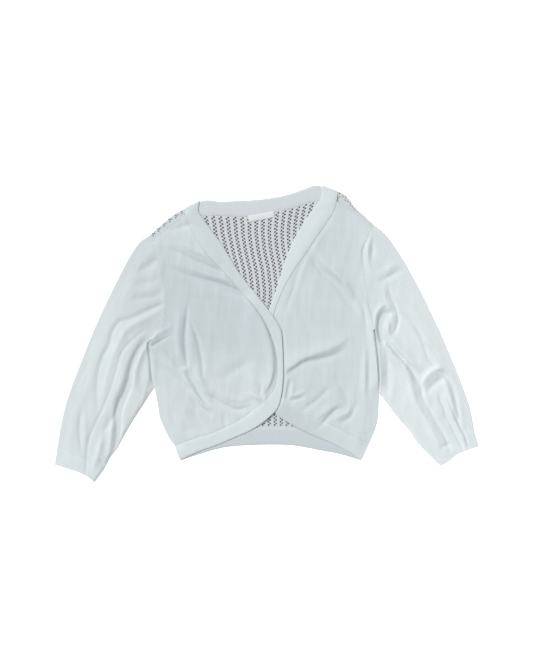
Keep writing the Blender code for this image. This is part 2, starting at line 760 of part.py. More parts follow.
def solid(name, pieces, colour, roughness, collection):
    """Adds one closed mesh.

    Args:
        name: object name.
        pieces: pairs of outer and inner skins that share whole edges.
        colour: base colour.
        roughness: surface roughness.
        collection: where the object goes.

    Returns:
        The object.
    """
    mesh = bmesh.new()
    place = mesh.verts.layers.int.new("place")
    inner_points = []
    for outer, inner in pieces:
        rows, columns = outer.shape[:2]
        made = bmesh.ops.create_grid(mesh, x_segments=columns - 1, y_segments=rows - 1, size=1.0)
        start = len(inner_points)
        for vertex in made["verts"]:
            column = round((vertex.co.x + 1) / 2 * (columns - 1))
            row = round((vertex.co.y + 1) / 2 * (rows - 1))
            vertex[place] = start + row * columns + column
            vertex.co = outer[row, column] * MM
        inner_points.extend(inner.reshape(-1, 3) * MM)
    bmesh.ops.remove_doubles(mesh, verts=mesh.verts, dist=0.00001)
    bmesh.ops.triangulate(mesh, faces=mesh.faces[:], quad_method="SHORT_EDGE")
    grown = bmesh.ops.extrude_face_region(mesh, geom=mesh.faces[:], use_keep_orig=True)
    for piece in grown["geom"]:
        if isinstance(piece, bmesh.types.BMVert):
            piece.co = inner_points[piece[place]]
    bmesh.ops.recalc_face_normals(mesh, faces=mesh.faces)
    for face in mesh.faces:
        face.smooth = True
    for edge in mesh.edges:
        edge.smooth = edge.calc_face_angle(0.0) < SHARP_ANGLE
    data = bpy.data.meshes.new(name)
    mesh.to_mesh(data)
    mesh.free()
    material = bpy.data.materials.new(name)
    material.use_nodes = True
    surface = material.node_tree.nodes["Principled BSDF"]
    surface.inputs["Base Color"].default_value = (*colour, 1.0)
    surface.inputs["Roughness"].default_value = roughness
    data.materials.append(material)
    thing = bpy.data.objects.new(name, data)
    collection.objects.link(thing)
    return thing


def settle(things):
    """Moves every mesh so that the whole is centred on the origin and rests at nought."""
    corners = np.array([vertex.co for thing in things for vertex in thing.data.vertices])
    low = corners.min(axis=0)
    high = corners.max(axis=0)
    shift = np.array([(low[0] + high[0]) / 2, (low[1] + high[1]) / 2, low[2]])
    for thing in things:
        for vertex in thing.data.vertices:
            vertex.co = np.array(vertex.co) - shift
    print("shift in mm:", np.round(shift / MM, 3), "size in mm:", np.round((high - low) / MM, 1))


def main():
    """Builds the cardigan."""
    for thing in list(bpy.data.objects):
        bpy.data.objects.remove(thing, do_unlink=True)
    collection = bpy.data.collections.new("cardigan")
    bpy.context.scene.collection.children.link(collection)

    right = make_right()
    left = make_left()
    neck_at = spread(seam_of(NECK_BAND), 0, len(NECK_BAND) - 1, NECK_COLUMNS)
    hem_at = spread(seam_of(HEM_BAND), 0, len(HEM_BAND) - 1, HEM_COLUMNS)
    openwork = (0.71, 0.76, 0.78)
    jersey = (0.74, 0.79, 0.81)
    rib = (0.70, 0.75, 0.77)
    satin = (0.72, 0.73, 0.73)
    pieces = {
        "back_panel": (back(), openwork, MATT),
        "front_right": ([front(right, RIGHT_SHOULDER_SEAM, RIGHT_ARMHOLE, RIGHT_SIDE,
                               RIGHT_BAND, RIGHT_CORNER)], jersey, MATT),
        "front_left": ([front(left, LEFT_SHOULDER_SEAM, LEFT_ARMHOLE, LEFT_SIDE,
                              LEFT_BAND, LEFT_CORNER)], jersey, MATT),
        "band_right": ([front_band(right, RIGHT_BAND, RIGHT_CORNER)], rib, MATT),
        "band_left": ([front_band(left, LEFT_BAND, LEFT_CORNER)], rib, MATT),
        "band_back_neck": ([flat_band(NECK_BAND, neck_at)], rib, MATT),
        "band_back_hem": ([flat_band(HEM_BAND, hem_at)], rib, MATT),
        "sleeve_right": ([sleeve(right, RIGHT_ARMHOLE, RIGHT_SLEEVE_OUTER, RIGHT_SIDE, RIGHT_SLEEVE_INNER,
                                 RIGHT_CUFF_SEAM)], jersey, MATT),
        "sleeve_left": ([sleeve(left, LEFT_ARMHOLE, LEFT_SLEEVE_OUTER, LEFT_SIDE, LEFT_SLEEVE_INNER,
                                LEFT_CUFF_SEAM)], jersey, MATT),
        "cuff_right": ([cuff(right, RIGHT_CUFF_SEAM, RIGHT_CUFF_EDGE, RIGHT_CUFF_OUTER,
                             RIGHT_CUFF_INNER)], rib, MATT),
        "cuff_left": ([cuff(left, LEFT_CUFF_SEAM, LEFT_CUFF_EDGE, LEFT_CUFF_OUTER,
                            LEFT_CUFF_INNER)], rib, MATT),
        "label": ([label()], satin, SATIN),
    }
    things = []
    for name, (skins, colour, roughness) in pieces.items():
        things.append(solid(name, skins, colour, roughness, collection))
    settle(things)


main()
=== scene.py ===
"""Looks of the laid-flat cardigan: knit shells with their creases, ribs, openwork, seams and label.

Tables and sizes are millimetres on the table plane; meshes and the studio are metres in the part's frame.
Sides are the wearer's, so the right half lies at -X. +Y runs to the collar and +Z up.
"""

import logging
import math
from dataclasses import dataclass
from enum import Enum
from typing import Any, ClassVar, NamedTuple

import bmesh
import bpy
import numpy as np
from mathutils import Matrix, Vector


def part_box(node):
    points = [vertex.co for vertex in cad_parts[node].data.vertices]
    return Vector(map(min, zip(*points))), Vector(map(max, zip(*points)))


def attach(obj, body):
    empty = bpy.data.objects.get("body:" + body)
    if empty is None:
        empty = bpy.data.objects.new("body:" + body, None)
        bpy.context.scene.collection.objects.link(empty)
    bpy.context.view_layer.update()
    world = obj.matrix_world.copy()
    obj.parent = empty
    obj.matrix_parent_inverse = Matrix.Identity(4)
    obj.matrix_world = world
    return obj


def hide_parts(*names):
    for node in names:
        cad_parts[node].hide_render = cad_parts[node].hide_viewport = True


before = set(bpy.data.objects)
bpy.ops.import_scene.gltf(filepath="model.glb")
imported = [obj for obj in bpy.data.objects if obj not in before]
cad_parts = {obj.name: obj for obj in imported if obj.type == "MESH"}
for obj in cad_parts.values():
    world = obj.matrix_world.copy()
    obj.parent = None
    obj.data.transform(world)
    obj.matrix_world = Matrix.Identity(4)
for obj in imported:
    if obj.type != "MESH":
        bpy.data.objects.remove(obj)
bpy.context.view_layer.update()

Points = np.ndarray
Mesh = bmesh.types.BMesh
Material = bpy.types.Material
Thing = bpy.types.Object
Triple = tuple[float, float, float]
Colour = Triple

MM = 0.001
WHITE = (1.0, 1.0, 1.0)
BLACK = (0.0, 0.0, 0.0)

# Distances in metres under which points of a shell or of a chain are one
WELD = 0.00001
CHAIN_WELD = 0.000001

# Cloth thicknesses and the space left between neighbours
PANEL_WALL = 1.4
BACK_WALL = 1.2
WALE_RISE = 0.4
BAND_WALL = 2.2
CUFF_WALL = 1.8
LABEL_WALL = 0.6
GAP = 0.3
SIDE_GAP = 0.4
SLEEVE_GAP = 0.8
CUFF_GAP = 0.7
TOUCHING_KNOT = 3

# Heights of the layers that lie on the back, on a back band and on the left front band
ON_BACK = BACK_WALL + WALE_RISE + GAP
ON_BACK_BAND = BAND_WALL + GAP
ON_LEFT_BAND = ON_BACK + BAND_WALL + GAP
ON_CUFF_BACK = CUFF_WALL + 0.5

# General swell of the upper layers
LOFT = 2.6

# Knit sizes
RIB_PITCH = 3.0
RIB_RELIEF = 0.12
STRIPE_COLUMNS = 5
STRIPE_SHARES = (0.0, 0.23, 0.46, 0.72, 0.74)
STRIPE_RELIEF = (0.0, 0.6, 0.0, 0.2, 0.2)
CLOTH_MAP = "Knit"

# Fineness of curves, and how boldly a grid is evened out in one round
CURVE_SAMPLES = 600
SAMPLES_A_KNOT = 10
RELAX_STEP = 0.8

# A crease's samples for each knot, its reach in widths, and how flat its top is
CREASE_SAMPLES = 6
CREASE_REACH = 3.0
CREASE_FLATNESS = 1.7

# Slow bend of the ripples: how far and over what length
RIPPLE_BEND = 6.0
RIPPLE_BEND_LENGTH = 37.0


class Slot(Enum):
    """Material slots of the record."""

    OPENWORK = "openwork"
    JERSEY = "jersey"
    RIB = "rib"
    LABEL = "label"


class Section(NamedTuple):
    """Cross-section of a strip: the sewn edge and the free edge."""

    seam_x: float
    seam_y: float
    free_x: float
    free_y: float


class Crease(NamedTuple):
    """A ridge, or with negative heights a trough: widths to either hand and (x, y, height) points."""

    left_width: float
    right_width: float
    path: tuple[Triple, ...]


class TurnRow(NamedTuple):
    """Distance in from the shoulder fold and height, for both faces of the turned back."""

    outer_in: float
    outer_z: float
    inner_in: float
    inner_z: float


# Right front band, from the shoulder fold to the side seam
RIGHT_BAND = [Section(*row) for row in (
    (-148, 225, -120, 240), (-146, 213, -122, 218), (-136, 191, -110, 200), (-104, 140, -79, 157),
    (-69, 104, -48, 107), (-50, 81, -32, 86), (-32, 61, -15, 65), (-17, 43, 1, 45), (-4, 23, 15, 25),
    (6, 2, 26, 4), (15, -23, 29, -23), (20, -52, 30, -52), (19, -79, 30, -83), (13, -103, 27, -110),
    (-1, -121, 20, -135), (-19, -135, 3, -153), (-42, -152, -25, -173), (-69, -167, -58, -188),
    (-98, -180, -91, -202), (-127, -189, -120, -212), (-165, -203, -156, -229),
)]
RIGHT_CORNER = 14

# Left front band; sections 8 to 12 lie under the right front
LEFT_BAND = [Section(*row) for row in (
    (127, 257, 100, 267), (125, 236, 99, 245), (120, 220, 89, 230), (107, 199, 74, 209), (94, 180, 58, 184),
    (68, 141, 37, 139), (43, 104, 23, 97), (24, 67, 10, 56), (12, 32, -5, 23), (15, -25, -8, -27),
    (18, -85, -4, -94), (22, -108, 3, -124), (33, -126, 20, -148), (53, -138, 40, -162),
    (75, -149, 66, -176), (100, -159, 91, -187), (129, -172, 118, -198), (158, -187, 146, -212),
    (184, -201, 171, -229),
)]
LEFT_CORNER = 12
FIRST_HIDDEN = 7
LAST_HIDDEN = 12

# Back neckband, from the right shoulder to the left
NECK_BAND = [Section(*row) for row in (
    (-144, 220, -121, 236), (-133, 214, -116, 238), (-120, 213, -111, 239), (-84, 212, -84, 237),
    (-57, 211, -57, 238), (-30, 210, -32, 239), (-4, 214, -8, 241), (44, 225, 37, 249), (80, 236, 75, 262),
    (94, 239, 87, 266), (110, 246, 93, 266), (122, 253, 101, 262.5),
)]

# Back hem band, from the right side seam to the left
HEM_BAND = [Section(*row) for row in (
    (-162, -205, -153, -229), (-125, -191, -120, -218), (-82, -178, -76, -206), (-32, -173, -30, -202),
    (10, -172, 10, -201), (44, -173, 42, -202), (102, -183, 96, -211), (136, -190, 132, -218),
    (181, -203, 169, -229),
)]

# Corners of the label, from the upper right of the garment round to the lower right
LABEL_CORNERS = [(-33.0, 211.0), (13.5, 219.5), (13.5, 208.5), (-32.0, 199.5)]

# Turned edge of the back over a shoulder
SHOULDER_TURN = [
    TurnRow(1.6, 0.0, 1.6, BACK_WALL),
    TurnRow(0.45, 0.5, 1.25, 1.3),
    TurnRow(0.0, 1.65, 1.1, 1.6),
    TurnRow(0.45, 2.8, 1.25, 1.85),
    TurnRow(1.6, ON_BACK + PANEL_WALL, 1.6, ON_BACK),
]

# Creases placed over the photograph: both widths, then the path's points, all in millimetres
RIGHT_CREASES = [Crease(left, right, tuple(path)) for left, right, *path in (
    (4, 5, (-195, 155, 0), (-155, 144, -2), (-132, 131, -3.4), (-108, 121, -4), (-90, 113, -3),
     (-74, 104, 0)),
    (9, 4, (-178, 165, 0), (-142, 153, 1.6), (-110, 137, 2.2), (-85, 120, 0)),
    (4.5, 6, (-177, 120, 0), (-146, 106, -2), (-117, 96, -4.2), (-89, 87, -6), (-65, 78, -6.4),
     (-47, 71, -5), (-33, 57, 0)),
    (9, 5, (-168, 131, 0), (-135, 115, 1.6), (-103, 104, 2.8), (-74, 95, 3), (-51, 81, 0)),
    (2.8, 13, (-51, 74, 0), (-32, 56, 3), (-15, 34, 3.6), (-3, 11, 4), (6, -13, 4.2), (12, -41, 4.4),
     (12, -69, 4.2), (4, -94, 3), (-8, -110, 0)),
    (3.5, 8, (-141, 200, 0), (-127, 173, 0.9), (-109, 142, 1), (-84, 113, 1), (-62, 94, 0)),
    (3, 3.6, (-141, 57, 0), (-144, 27, -2.4), (-146, -6, -3.4), (-145, -34, -3.8), (-143, -52, -3),
     (-142, -65, 0)),
    (9, 6, (-153, 47, 0), (-158, 18, 2.2), (-159, -7, 2.8), (-156, -33, 2.4), (-150, -54, 0)),
    (3.5, 3.5, (-142, 32, 0), (-131, 8, -2), (-122, -18, -3.2), (-117, -43, -3.4), (-115, -69, -2.2),
     (-114, -83, 0)),
    (6, 6, (-137, 18, 0), (-134, -24, 1.6), (-132, -60, 0)),
    (2.8, 3, (-206, -24, -1.4), (-190, -14, -1.6), (-175, -6, -0.8), (-168, -1, 0)),
    (6, 4, (-204, -11, 0), (-193, -2, 1), (-178, 7, 1), (-166, 18, 0)),
    (3, 3, (-187, -25, 0), (-178, -35, -1.8), (-168, -47, -2.4), (-155, -59, -2.4), (-144, -63, 0)),
    (5, 6, (-195, -36, 0), (-178, -52, 1.6), (-160, -67, 1.4), (-146, -76, 0)),
    (5, 3.6, (-144, -63, 0), (-137, -78, -4), (-129, -91, -5), (-120, -111, -4.8), (-110, -123, -2.8),
     (-99, -132, 0)),
    (8, 4, (-130, -61, 0), (-120, -85, 3.4), (-109, -106, 3), (-96, -121, 0)),
    (4.5, 6, (-204, -47, 0), (-189, -61, -2), (-171, -77, -2.4), (-155, -87, -2.6), (-136, -105, -3.2),
     (-120, -132, -4), (-106, -142, -2.4), (-96, -150, 0)),
    (5, 5, (-157, -61, 0), (-145, -83, 3.2), (-134, -103, 3.4), (-122, -121, 3), (-110, -135, 1.4),
     (-101, -142, 0)),
    (3.4, 4.5, (-112, -106, 0), (-101, -114, -2.4), (-89, -121, -3), (-70, -132, -3.4), (-52, -138, -3),
     (-38, -135, -1.2), (-24, -130, 0)),
    (7, 3.5, (-106, -96, 0), (-88, -106, 2), (-67, -119, 1.4), (-45, -121, 0.8), (-27, -116, 1),
     (-9, -123, 0)),
    (2.8, 2.8, (-45, -107, 0), (-25, -112, 1.6), (-11, -119, 1.8), (-2, -128, 0)),
    (2.8, 2.8, (-6, -90, 0), (-4, -103, 1.2), (-2, -115, 1.4), (-4, -128, 0)),
    (3, 3, (-12, -87, 0), (-11, -105, -1.6), (-13, -115, 0)),
    (10, 8, (-99, -83, 0), (-67, -74, -1.4), (-38, -55, -1.6), (-20, -47, 0)),
    (14, 12, (-96, -61, 0), (-60, -51, 0.8), (-27, -33, 0)),
    (6, 6, (-135, -130, 0), (-123, -155, -1.8), (-106, -182, 0)),
    (7, 7, (-178, -114, 0), (-173, -141, -1.6), (-160, -177, 0)),
    (4, 4, (-78, -137, 0), (-74, -166, -1.4), (-67, -180, 0)),
    (7, 7, (-157, -114, 0), (-146, -144, 1.4), (-135, -173, 0)),
    (5, 5, (-180, 182, 0), (-157, 189, -1.4), (-135, 194, -1.8), (-123, 183, 0)),
    (3, 3, (-160, -204, -1), (-142, -204, -1.4), (-124, -207, 0)),
    (7, 7, (-236, 110, 0), (-220, 115, -2.6), (-205, 126, -3), (-191, 138, 0)),
    (5, 5, (-240, 90, 0), (-216, 91, -1.2), (-193, 95, 0)),
    (5, 5, (-243, 75, 0), (-216, 76, 1), (-189, 81, 0)),
    (5, 5, (-254, 59, 0), (-229, 62, -1.4), (-204, 65, -1.4), (-184, 72, 0)),
    (4.5, 4.5, (-180, 56, 0), (-198, 47, -2.6), (-222, 36, -3), (-241, 27, -2.6), (-265, 19, -2.2),
     (-276, 2, -2.4), (-283, -22, -2.4), (-294, -42, -2), (-302, -70, -2), (-305, -99, -1.6),
     (-304, -133, -1), (-308, -159, 0)),
    (8, 6, (-189, 41, 0), (-214, 27, 2), (-238, 16, 2.4), (-254, 3, 2.6), (-265, -18, 2.4),
     (-276, -43, 2.2), (-285, -72, 2), (-290, -101, 1.6), (-292, -126, 0)),
    (2.8, 2.8, (-214, 9, 0), (-229, -2, -1), (-241, -13, -1.2), (-258, -32, -1.2), (-268, -61, -1.2),
     (-276, -90, -1.2), (-292, -132, -1.2), (-307, -162, -1.2), (-319, -192, -1.3), (-323, -216, -1.3),
     (-324, -236, -1.2), (-325, -258, -0.8)),
    (9, 20, (-223, -4, 0), (-234, -20, 2.2), (-245, -40, 3.4), (-255, -69, 4.6), (-262, -90, 4.8),
     (-272, -112, 4.4), (-282, -133, 3.4), (-292, -155, 1), (-297, -169, 0)),
    (3.2, 8, (-211, -11, 0), (-218, -20, -4), (-227, -33, -6), (-234, -47, -7), (-240, -65, -7.6),
     (-243, -87, -7.8), (-251, -110, -7.6), (-259, -130, -6.6), (-265, -146, -3), (-267, -159, 0)),
    (5, 6, (-263, -130, 0), (-276, -153, -2), (-288, -171, -1.8), (-295, -178, 0)),
    (3, 7, (-259, -112, 0), (-260, -128, -5), (-263, -146, -6.6), (-264, -173, -6.6), (-266, -195, -6.6),
     (-271, -216, -5.4), (-280, -236, -2.8), (-292, -245, 0)),
    (6, 6, (-272, -121, 0), (-275, -141, 2.4), (-277, -157, 3.2), (-278, -171, 3.6), (-279, -187, 3.6),
     (-282, -209, 3), (-290, -232, 0)),
    (9, 2.8, (-193, 2, 1), (-207, -12, 3.4), (-219, -22, 4), (-229, -36, 4), (-237, -56, 4),
     (-240, -75, 3.8), (-240, -90, 3), (-231, -105, 1.6), (-222, -114, 0)),
    (8, 8, (-213, -29, 0), (-220, -47, -1.2), (-225, -69, -1.4), (-225, -90, -1), (-218, -105, 0)),
    (4, 4, (-211, -61, 0), (-213, -87, 1.2), (-218, -105, 1.4), (-223, -126, 0)),
    (2.8, 2.8, (-213, -114, 0), (-227, -139, 1.4), (-245, -166, 1.6), (-263, -192, 1.2), (-268, -205, 0)),
    (6, 6, (-292, -180, 0), (-299, -202, 2.6), (-304, -222, 2.6), (-310, -241, 1.4), (-313, -259, 0)),
    (2.8, 2.8, (-303, -227, 0), (-297, -232, -2), (-290, -241, -1.6), (-285, -243, 0)),
    (4, 4, (-331, -126, 0), (-334, -150, -1.6), (-336, -171, -2), (-334, -202, -1.4), (-333, -222, 0)),
    (4, 4, (-325, -132, 0), (-326, -159, 0.9), (-326, -187, 0.9), (-328, -216, 0)),
)]

LEFT_CREASES = [Crease(left, right, tuple(path)) for left, right, *path in (
    (5, 6, (68, 155, 0), (82, 135, -2.6), (101, 110, -4.4), (126, 90, -5.4), (140, 68, -5), (155, 47, -2.4),
     (165, 30, 0)),
    (9, 6, (84, 147, 0), (113, 119, 3.8), (142, 88, 4.2), (158, 61, 0)),
    (4, 4, (138, 92, 0), (159, 72, -1.6), (174, 47, -2), (179, 12, -1.8), (183, -22, 0)),
    (4, 4, (153, 83, 0), (171, 65, 1.4), (184, 36, 1.6), (188, 3, 1.2), (191, -24, 0)),
    (4, 4, (176, -24, 0), (177, -60, 2), (177, -96, 2), (175, -126, 0)),
    (5, 5, (183, -6, 0), (184, -51, -1.2), (185, -96, -1.2), (184, -123, 0)),
    (4, 4, (167, -33, 0), (167, -78, -1), (165, -114, 0)),
    (5, 6, (68, 137, 0), (56, 102, -2), (43, 66, -2.4), (32, 30, 0)),
    (4, 9, (30, 43, 0), (46, 79, 1.1), (66, 117, 1.2), (87, 153, 1.1), (109, 187, 0.9), (130, 223, 0)),
    (14, 7, (29, -85, 0), (36, -72, 3), (47, -60, 3.6), (63, -47, 4), (84, -38, 4.4), (110, -30, 4),
     (131, -19, 3), (151, -2, 0)),
    (4, 6, (31, -81, -2.4), (39, -71, -3.2), (51, -63, -3), (70, -52, -2.4), (95, -47, -2.2),
     (120, -40, -2), (144, -27, 0)),
    (6, 6, (120, -74, 0), (129, -88, -1.4), (138, -105, -1.8), (149, -128, -1.6), (164, -142, 0)),
    (5, 5, (59, -142, 0), (74, -133, -2), (88, -123, -2.2), (106, -106, -1.4), (120, -96, 0)),
    (3, 3, (35, -121, 0), (48, -121, -2), (61, -117, -1.6), (72, -110, 0)),
    (4, 3, (34, -112, 0), (48, -113, 1.6), (63, -108, 1.2), (74, -101, 0)),
    (3, 5, (93, -168, -1), (102, -161, -2.6), (113, -149, -3), (125, -138, -2.2), (140, -133, 0)),
    (7, 4, (84, -160, 0), (95, -150, 1.4), (108, -140, 1.6), (124, -129, 1), (138, -126, 0)),
    (4, 4, (128, -164, 0), (140, -159, -1.6), (151, -151, -2), (160, -132, -1.2), (164, -115, 0)),
    (4, 4, (117, -159, 0), (131, -151, 1.6), (146, -142, 1.4), (153, -126, 0)),
    (3, 3, (43, -81, 0), (41, -96, -4.4), (38, -112, -4.4), (35, -123, 0)),
    (3, 4, (48, -90, 0), (47, -105, 1.4), (45, -117, 0)),
    (3.4, 3.4, (190, 180, 0), (183, 160, 2.6), (182, 144, 3), (184, 126, 1), (187, 111, 0)),
    (2.8, 2.8, (187, 173, 0), (175, 153, -2), (175, 126, -1.6), (180, 108, 0)),
    (2.8, 2.8, (191, 169, 0), (191, 147, -2), (190, 129, 0)),
    (3.5, 5, (198, 91, 0), (214, 98, -2.2), (230, 107, -2.6), (243, 113, -1.6), (252, 115, 0)),
    (6, 4, (196, 104, 0), (214, 111, 1.2), (232, 122, 1), (246, 126, 0)),
    (3, 3, (219, 92, 0), (222, 70, -2.4), (232, 46, -3.4), (237, 27, -3.6), (234, 9, -3.2), (226, -4, 0)),
    (3, 4.5, (210, 86, 0), (214, 63, 1.6), (222, 43, 2), (227, 25, 1.6), (225, 11, 0)),
    (4.4, 4.4, (232, 36, 0), (219, 36, -4.6), (210, 30, -7), (206, 20, -8), (205, 5, -8), (208, -11, -6.4),
     (212, -22, 0)),
    (4, 4, (221, 25, 0), (219, 14, 3), (219, 2, 2.6), (223, -11, 0)),
    (5, 4, (218, 52, 0), (205, 46, 3.4), (197, 32, 3.6), (195, 14, 3.4), (197, -4, 3.4), (201, -18, 2.6),
     (203, -33, 0)),
    (4, 4, (210, -4, 0), (217, -14, -4), (226, -26, -6), (237, -39, -6.5), (248, -50, -6.5), (258, -62, -6),
     (266, -76, -4), (271, -90, -1.6), (273, -103, 0)),
    (4, 4, (271, -74, 0), (277, -94, -2.6), (283, -117, -3), (296, -140, -3.2), (310, -166, -3.6),
     (323, -189, -3.4), (328, -205, -1.6), (332, -216, 0)),
    (8, 8, (222, -2, 0), (230, -17, 4), (238, -28, 5), (248, -39, 5), (258, -50, 4.6), (269, -60, 2.8),
     (278, -70, 0)),
    (8, 9, (206, -14, 0), (217, -27, 5.4), (226, -38, 7), (235, -49, 7), (246, -59, 6), (255, -74, 3),
     (258, -88, 0)),
    (9, 5, (242, -56, 0), (254, -77, 4), (260, -99, 5), (266, -121, 4.4), (280, -146, 4.4),
     (295, -171, 4.4), (307, -193, 3), (312, -209, 0)),
    (4, 4, (281, -92, 0), (286, -115, 1.8), (297, -139, 2), (311, -160, 2), (324, -182, 1.4),
     (331, -198, 0)),
    (6, 6, (286, -110, 0), (300, -94, -2.6), (317, -82, -2.8), (329, -79, 0)),
    (5, 9, (277, -103, 0), (283, -86, 3.4), (295, -71, 4.2), (309, -64, 3.6), (320, -68, 0)),
    (3, 3, (281, -18, 0), (286, -33, -2), (292, -47, -2.8), (302, -61, -3), (321, -76, -3),
     (334, -96, -3.2), (341, -124, -3), (346, -153, -2), (346, -166, 0)),
    (3.5, 5, (309, -70, 0), (321, -88, 2.4), (329, -110, 3), (335, -135, 2.6), (338, -158, 0)),
    (5, 3.5, (297, -33, 0), (311, -56, 1.8), (331, -74, 2.2), (344, -97, 2.2), (351, -126, 1.8),
     (354, -153, 0)),
    (2.8, 2.8, (243, 39, 0), (255, 27, -1.2), (268, 12, -1.6), (279, -4, -1.6), (285, -18, 0)),
    (3, 5, (236, 25, 0), (257, 12, 1.4), (273, -9, 1.4), (281, -29, 0)),
    (3, 3, (308, -106, 0), (312, -119, -2.4), (317, -130, -2.8), (326, -153, -4), (335, -169, -4.4),
     (342, -184, -4), (349, -198, -3), (354, -211, -1)),
    (3, 3, (318, -108, 0), (326, -130, 2.4), (335, -151, 2.8), (345, -173, 2.6), (354, -191, 2),
     (360, -205, 0)),
    (2.8, 2.8, (329, -126, 0), (338, -148, -2), (349, -168, -2.8), (358, -187, -2.6), (363, -205, -1.6)),
    (2.8, 2.8, (357, -160, 0), (361, -171, -2.6), (364, -182, 0)),
    (2.8, 2.8, (311, -207, 0), (322, -202, -1.6), (333, -196, 0)),
    (2.8, 8, (189, 2, 0), (193, -18, 1.8), (196, -43, 2.2), (198, -70, 2), (198, -95, 1.4), (197, -113, 0)),
    (6, 3, (201, -9, 0), (202, -34, 3.2), (203, -59, 3.8), (204, -85, 3.2), (205, -110, 0)),
    (6, 5, (215, -13, 0), (217, -34, -2.2), (218, -59, -2.6), (218, -85, -2.4), (219, -113, 0)),
)]


def smooth(knots: Points, at: Points) -> Points:
    """Points of a curve through the knots.

    Args:
        knots: rows of coordinates.
        at: knot numbers, whole or in between.

    Returns:
        One row of coordinates for each number.
    """
    knots = np.array(knots, float)
    steps = np.diff(knots, axis=0)
    lengths = np.maximum(np.linalg.norm(steps, axis=1), 1e-9)[:, None]
    slopes = steps / lengths
    inner = (slopes[1:] * lengths[:-1] + slopes[:-1] * lengths[1:]) / (lengths[1:] + lengths[:-1])
    tangents = np.concatenate([slopes[:1], inner, slopes[-1:]])
    at = np.asarray(at, float)
    index = np.clip(at.astype(int), 0, len(steps) - 1)
    t = (at - index)[:, None]
    reach = lengths[index]
    return (
        (2 * t**3 - 3 * t**2 + 1) * knots[index]
        + (t**3 - 2 * t**2 + t) * reach * tangents[index]
        + (3 * t**2 - 2 * t**3) * knots[index + 1]
        + (t**3 - t**2) * reach * tangents[index + 1]
    )


def travelled(points: Points) -> Points:
    """Length along a line up to each of its points."""
    steps = np.linalg.norm(np.diff(points, axis=0), axis=1)
    return np.concatenate([[0], np.cumsum(steps)])


def spread(knots: Points, first: float, last: float, count: int) -> Points:
    """Knot numbers that divide the curve between two knots into equal lengths."""
    at = np.linspace(first, last, CURVE_SAMPLES)
    run = travelled(smooth(knots, at))
    return np.interp(np.linspace(0, run[-1], count + 1), run, at)


def even(knots: Points, count: int, first: float = 0, last: float | None = None) -> Points:
    """Evenly spaced points along the curve through the knots."""
    last = len(knots) - 1 if last is None else last
    return smooth(knots, spread(knots, first, last, count))


def fine(knots: Points) -> Points:
    """Closely spaced points of a curve, for distances."""
    return even(knots, SAMPLES_A_KNOT * len(knots))


def seam_of(strip: list[Section]) -> Points:
    """Sewn edge of a strip."""
    return np.array([(row.seam_x, row.seam_y) for row in strip], float)


def free_of(strip: list[Section]) -> Points:
    """Free edge of a strip."""
    return np.array([(row.free_x, row.free_y) for row in strip], float)


def middle_of(strip: list[Section]) -> Points:
    """Centre line of a strip."""
    return (seam_of(strip) + free_of(strip)) / 2


def patch(top: Points, bottom: Points, left: Points, right: Points, over: Points | None = None) -> Points:
    """Plan grid between four edges.

    Args:
        top, bottom: points of the first and last rows.
        left, right: points of the first and last columns.
        over: each column's share of the way across, even where it isn't given.

    Returns:
        Array of rows, columns and two coordinates.
    """
    down = np.linspace(0, 1, len(left))[:, None, None]
    over = np.linspace(0, 1, len(top)) if over is None else over
    over = over[None, :, None]
    between_sides = (1 - over) * left[:, None] + over * right[:, None]
    between_ends = (1 - down) * top[None] + down * bottom[None]
    first = (1 - over) * top[0] + over * top[-1]
    last = (1 - over) * bottom[0] + over * bottom[-1]
    return between_sides + between_ends - (1 - down) * first - down * last


def relax(grid: Points, rounds: int) -> Points:
    """Evens out the inside of a plan grid so that its cells keep their order round a notch in an edge."""
    grid = grid.copy()
    for _ in range(rounds):
        down = (grid[2:, 1:-1] - grid[:-2, 1:-1]) / 2
        over = (grid[1:-1, 2:] - grid[1:-1, :-2]) / 2
        mixed = (grid[2:, 2:] - grid[2:, :-2] - grid[:-2, 2:] + grid[:-2, :-2]) / 4
        along = np.sum(over**2, axis=2, keepdims=True)
        cross = np.sum(down * over, axis=2, keepdims=True)
        across = np.sum(down**2, axis=2, keepdims=True)
        rows = grid[2:, 1:-1] + grid[:-2, 1:-1]
        columns = grid[1:-1, 2:] + grid[1:-1, :-2]
        aim = (along * rows + across * columns - 2 * cross * mixed) / (2 * (along + across))
        grid[1:-1, 1:-1] += RELAX_STEP * (aim - grid[1:-1, 1:-1])
    return grid


def finer(grid: Points, rows: int, columns: int) -> Points:
    """Plan grid read again at more rows and columns, along smooth curves."""
    down = np.linspace(0, len(grid) - 1, rows + 1)
    tall = np.stack([smooth(grid[:, column], down) for column in range(grid.shape[1])], axis=1)
    over = np.linspace(0, grid.shape[1] - 1, columns + 1)
    return np.stack([smooth(row, over) for row in tall])


def toward(start: Points, end: Points, distance: float) -> Points:
    """Points moved from start toward end by a distance."""
    step = end - start
    return start + step / np.linalg.norm(step, axis=-1, keepdims=True) * distance


def aside(line: Points, inner: Points, distance: float) -> Points:
    """Moves a line square to itself, to the side where the inner line lies."""
    tangent = np.gradient(line, axis=0)
    tangent /= np.linalg.norm(tangent, axis=1, keepdims=True)
    normal = np.stack([-tangent[:, 1], tangent[:, 0]], axis=1)
    inward = np.sum(normal * (inner - line), axis=1).sum()
    return line + normal * np.sign(inward) * distance


def inset(grid: Points, top: float = 0, bottom: float = 0, left: float = 0, right: float = 0) -> Points:
    """Draws the four edges of a plan grid in by distances in millimetres."""
    moved = grid.copy()
    moved[0] += aside(grid[0], grid[1], top) - grid[0]
    moved[-1] += aside(grid[-1], grid[-2], bottom) - grid[-1]
    moved[:, 0] += aside(grid[:, 0], grid[:, 1], left) - grid[:, 0]
    moved[:, -1] += aside(grid[:, -1], grid[:, -2], right) - grid[:, -1]
    return moved


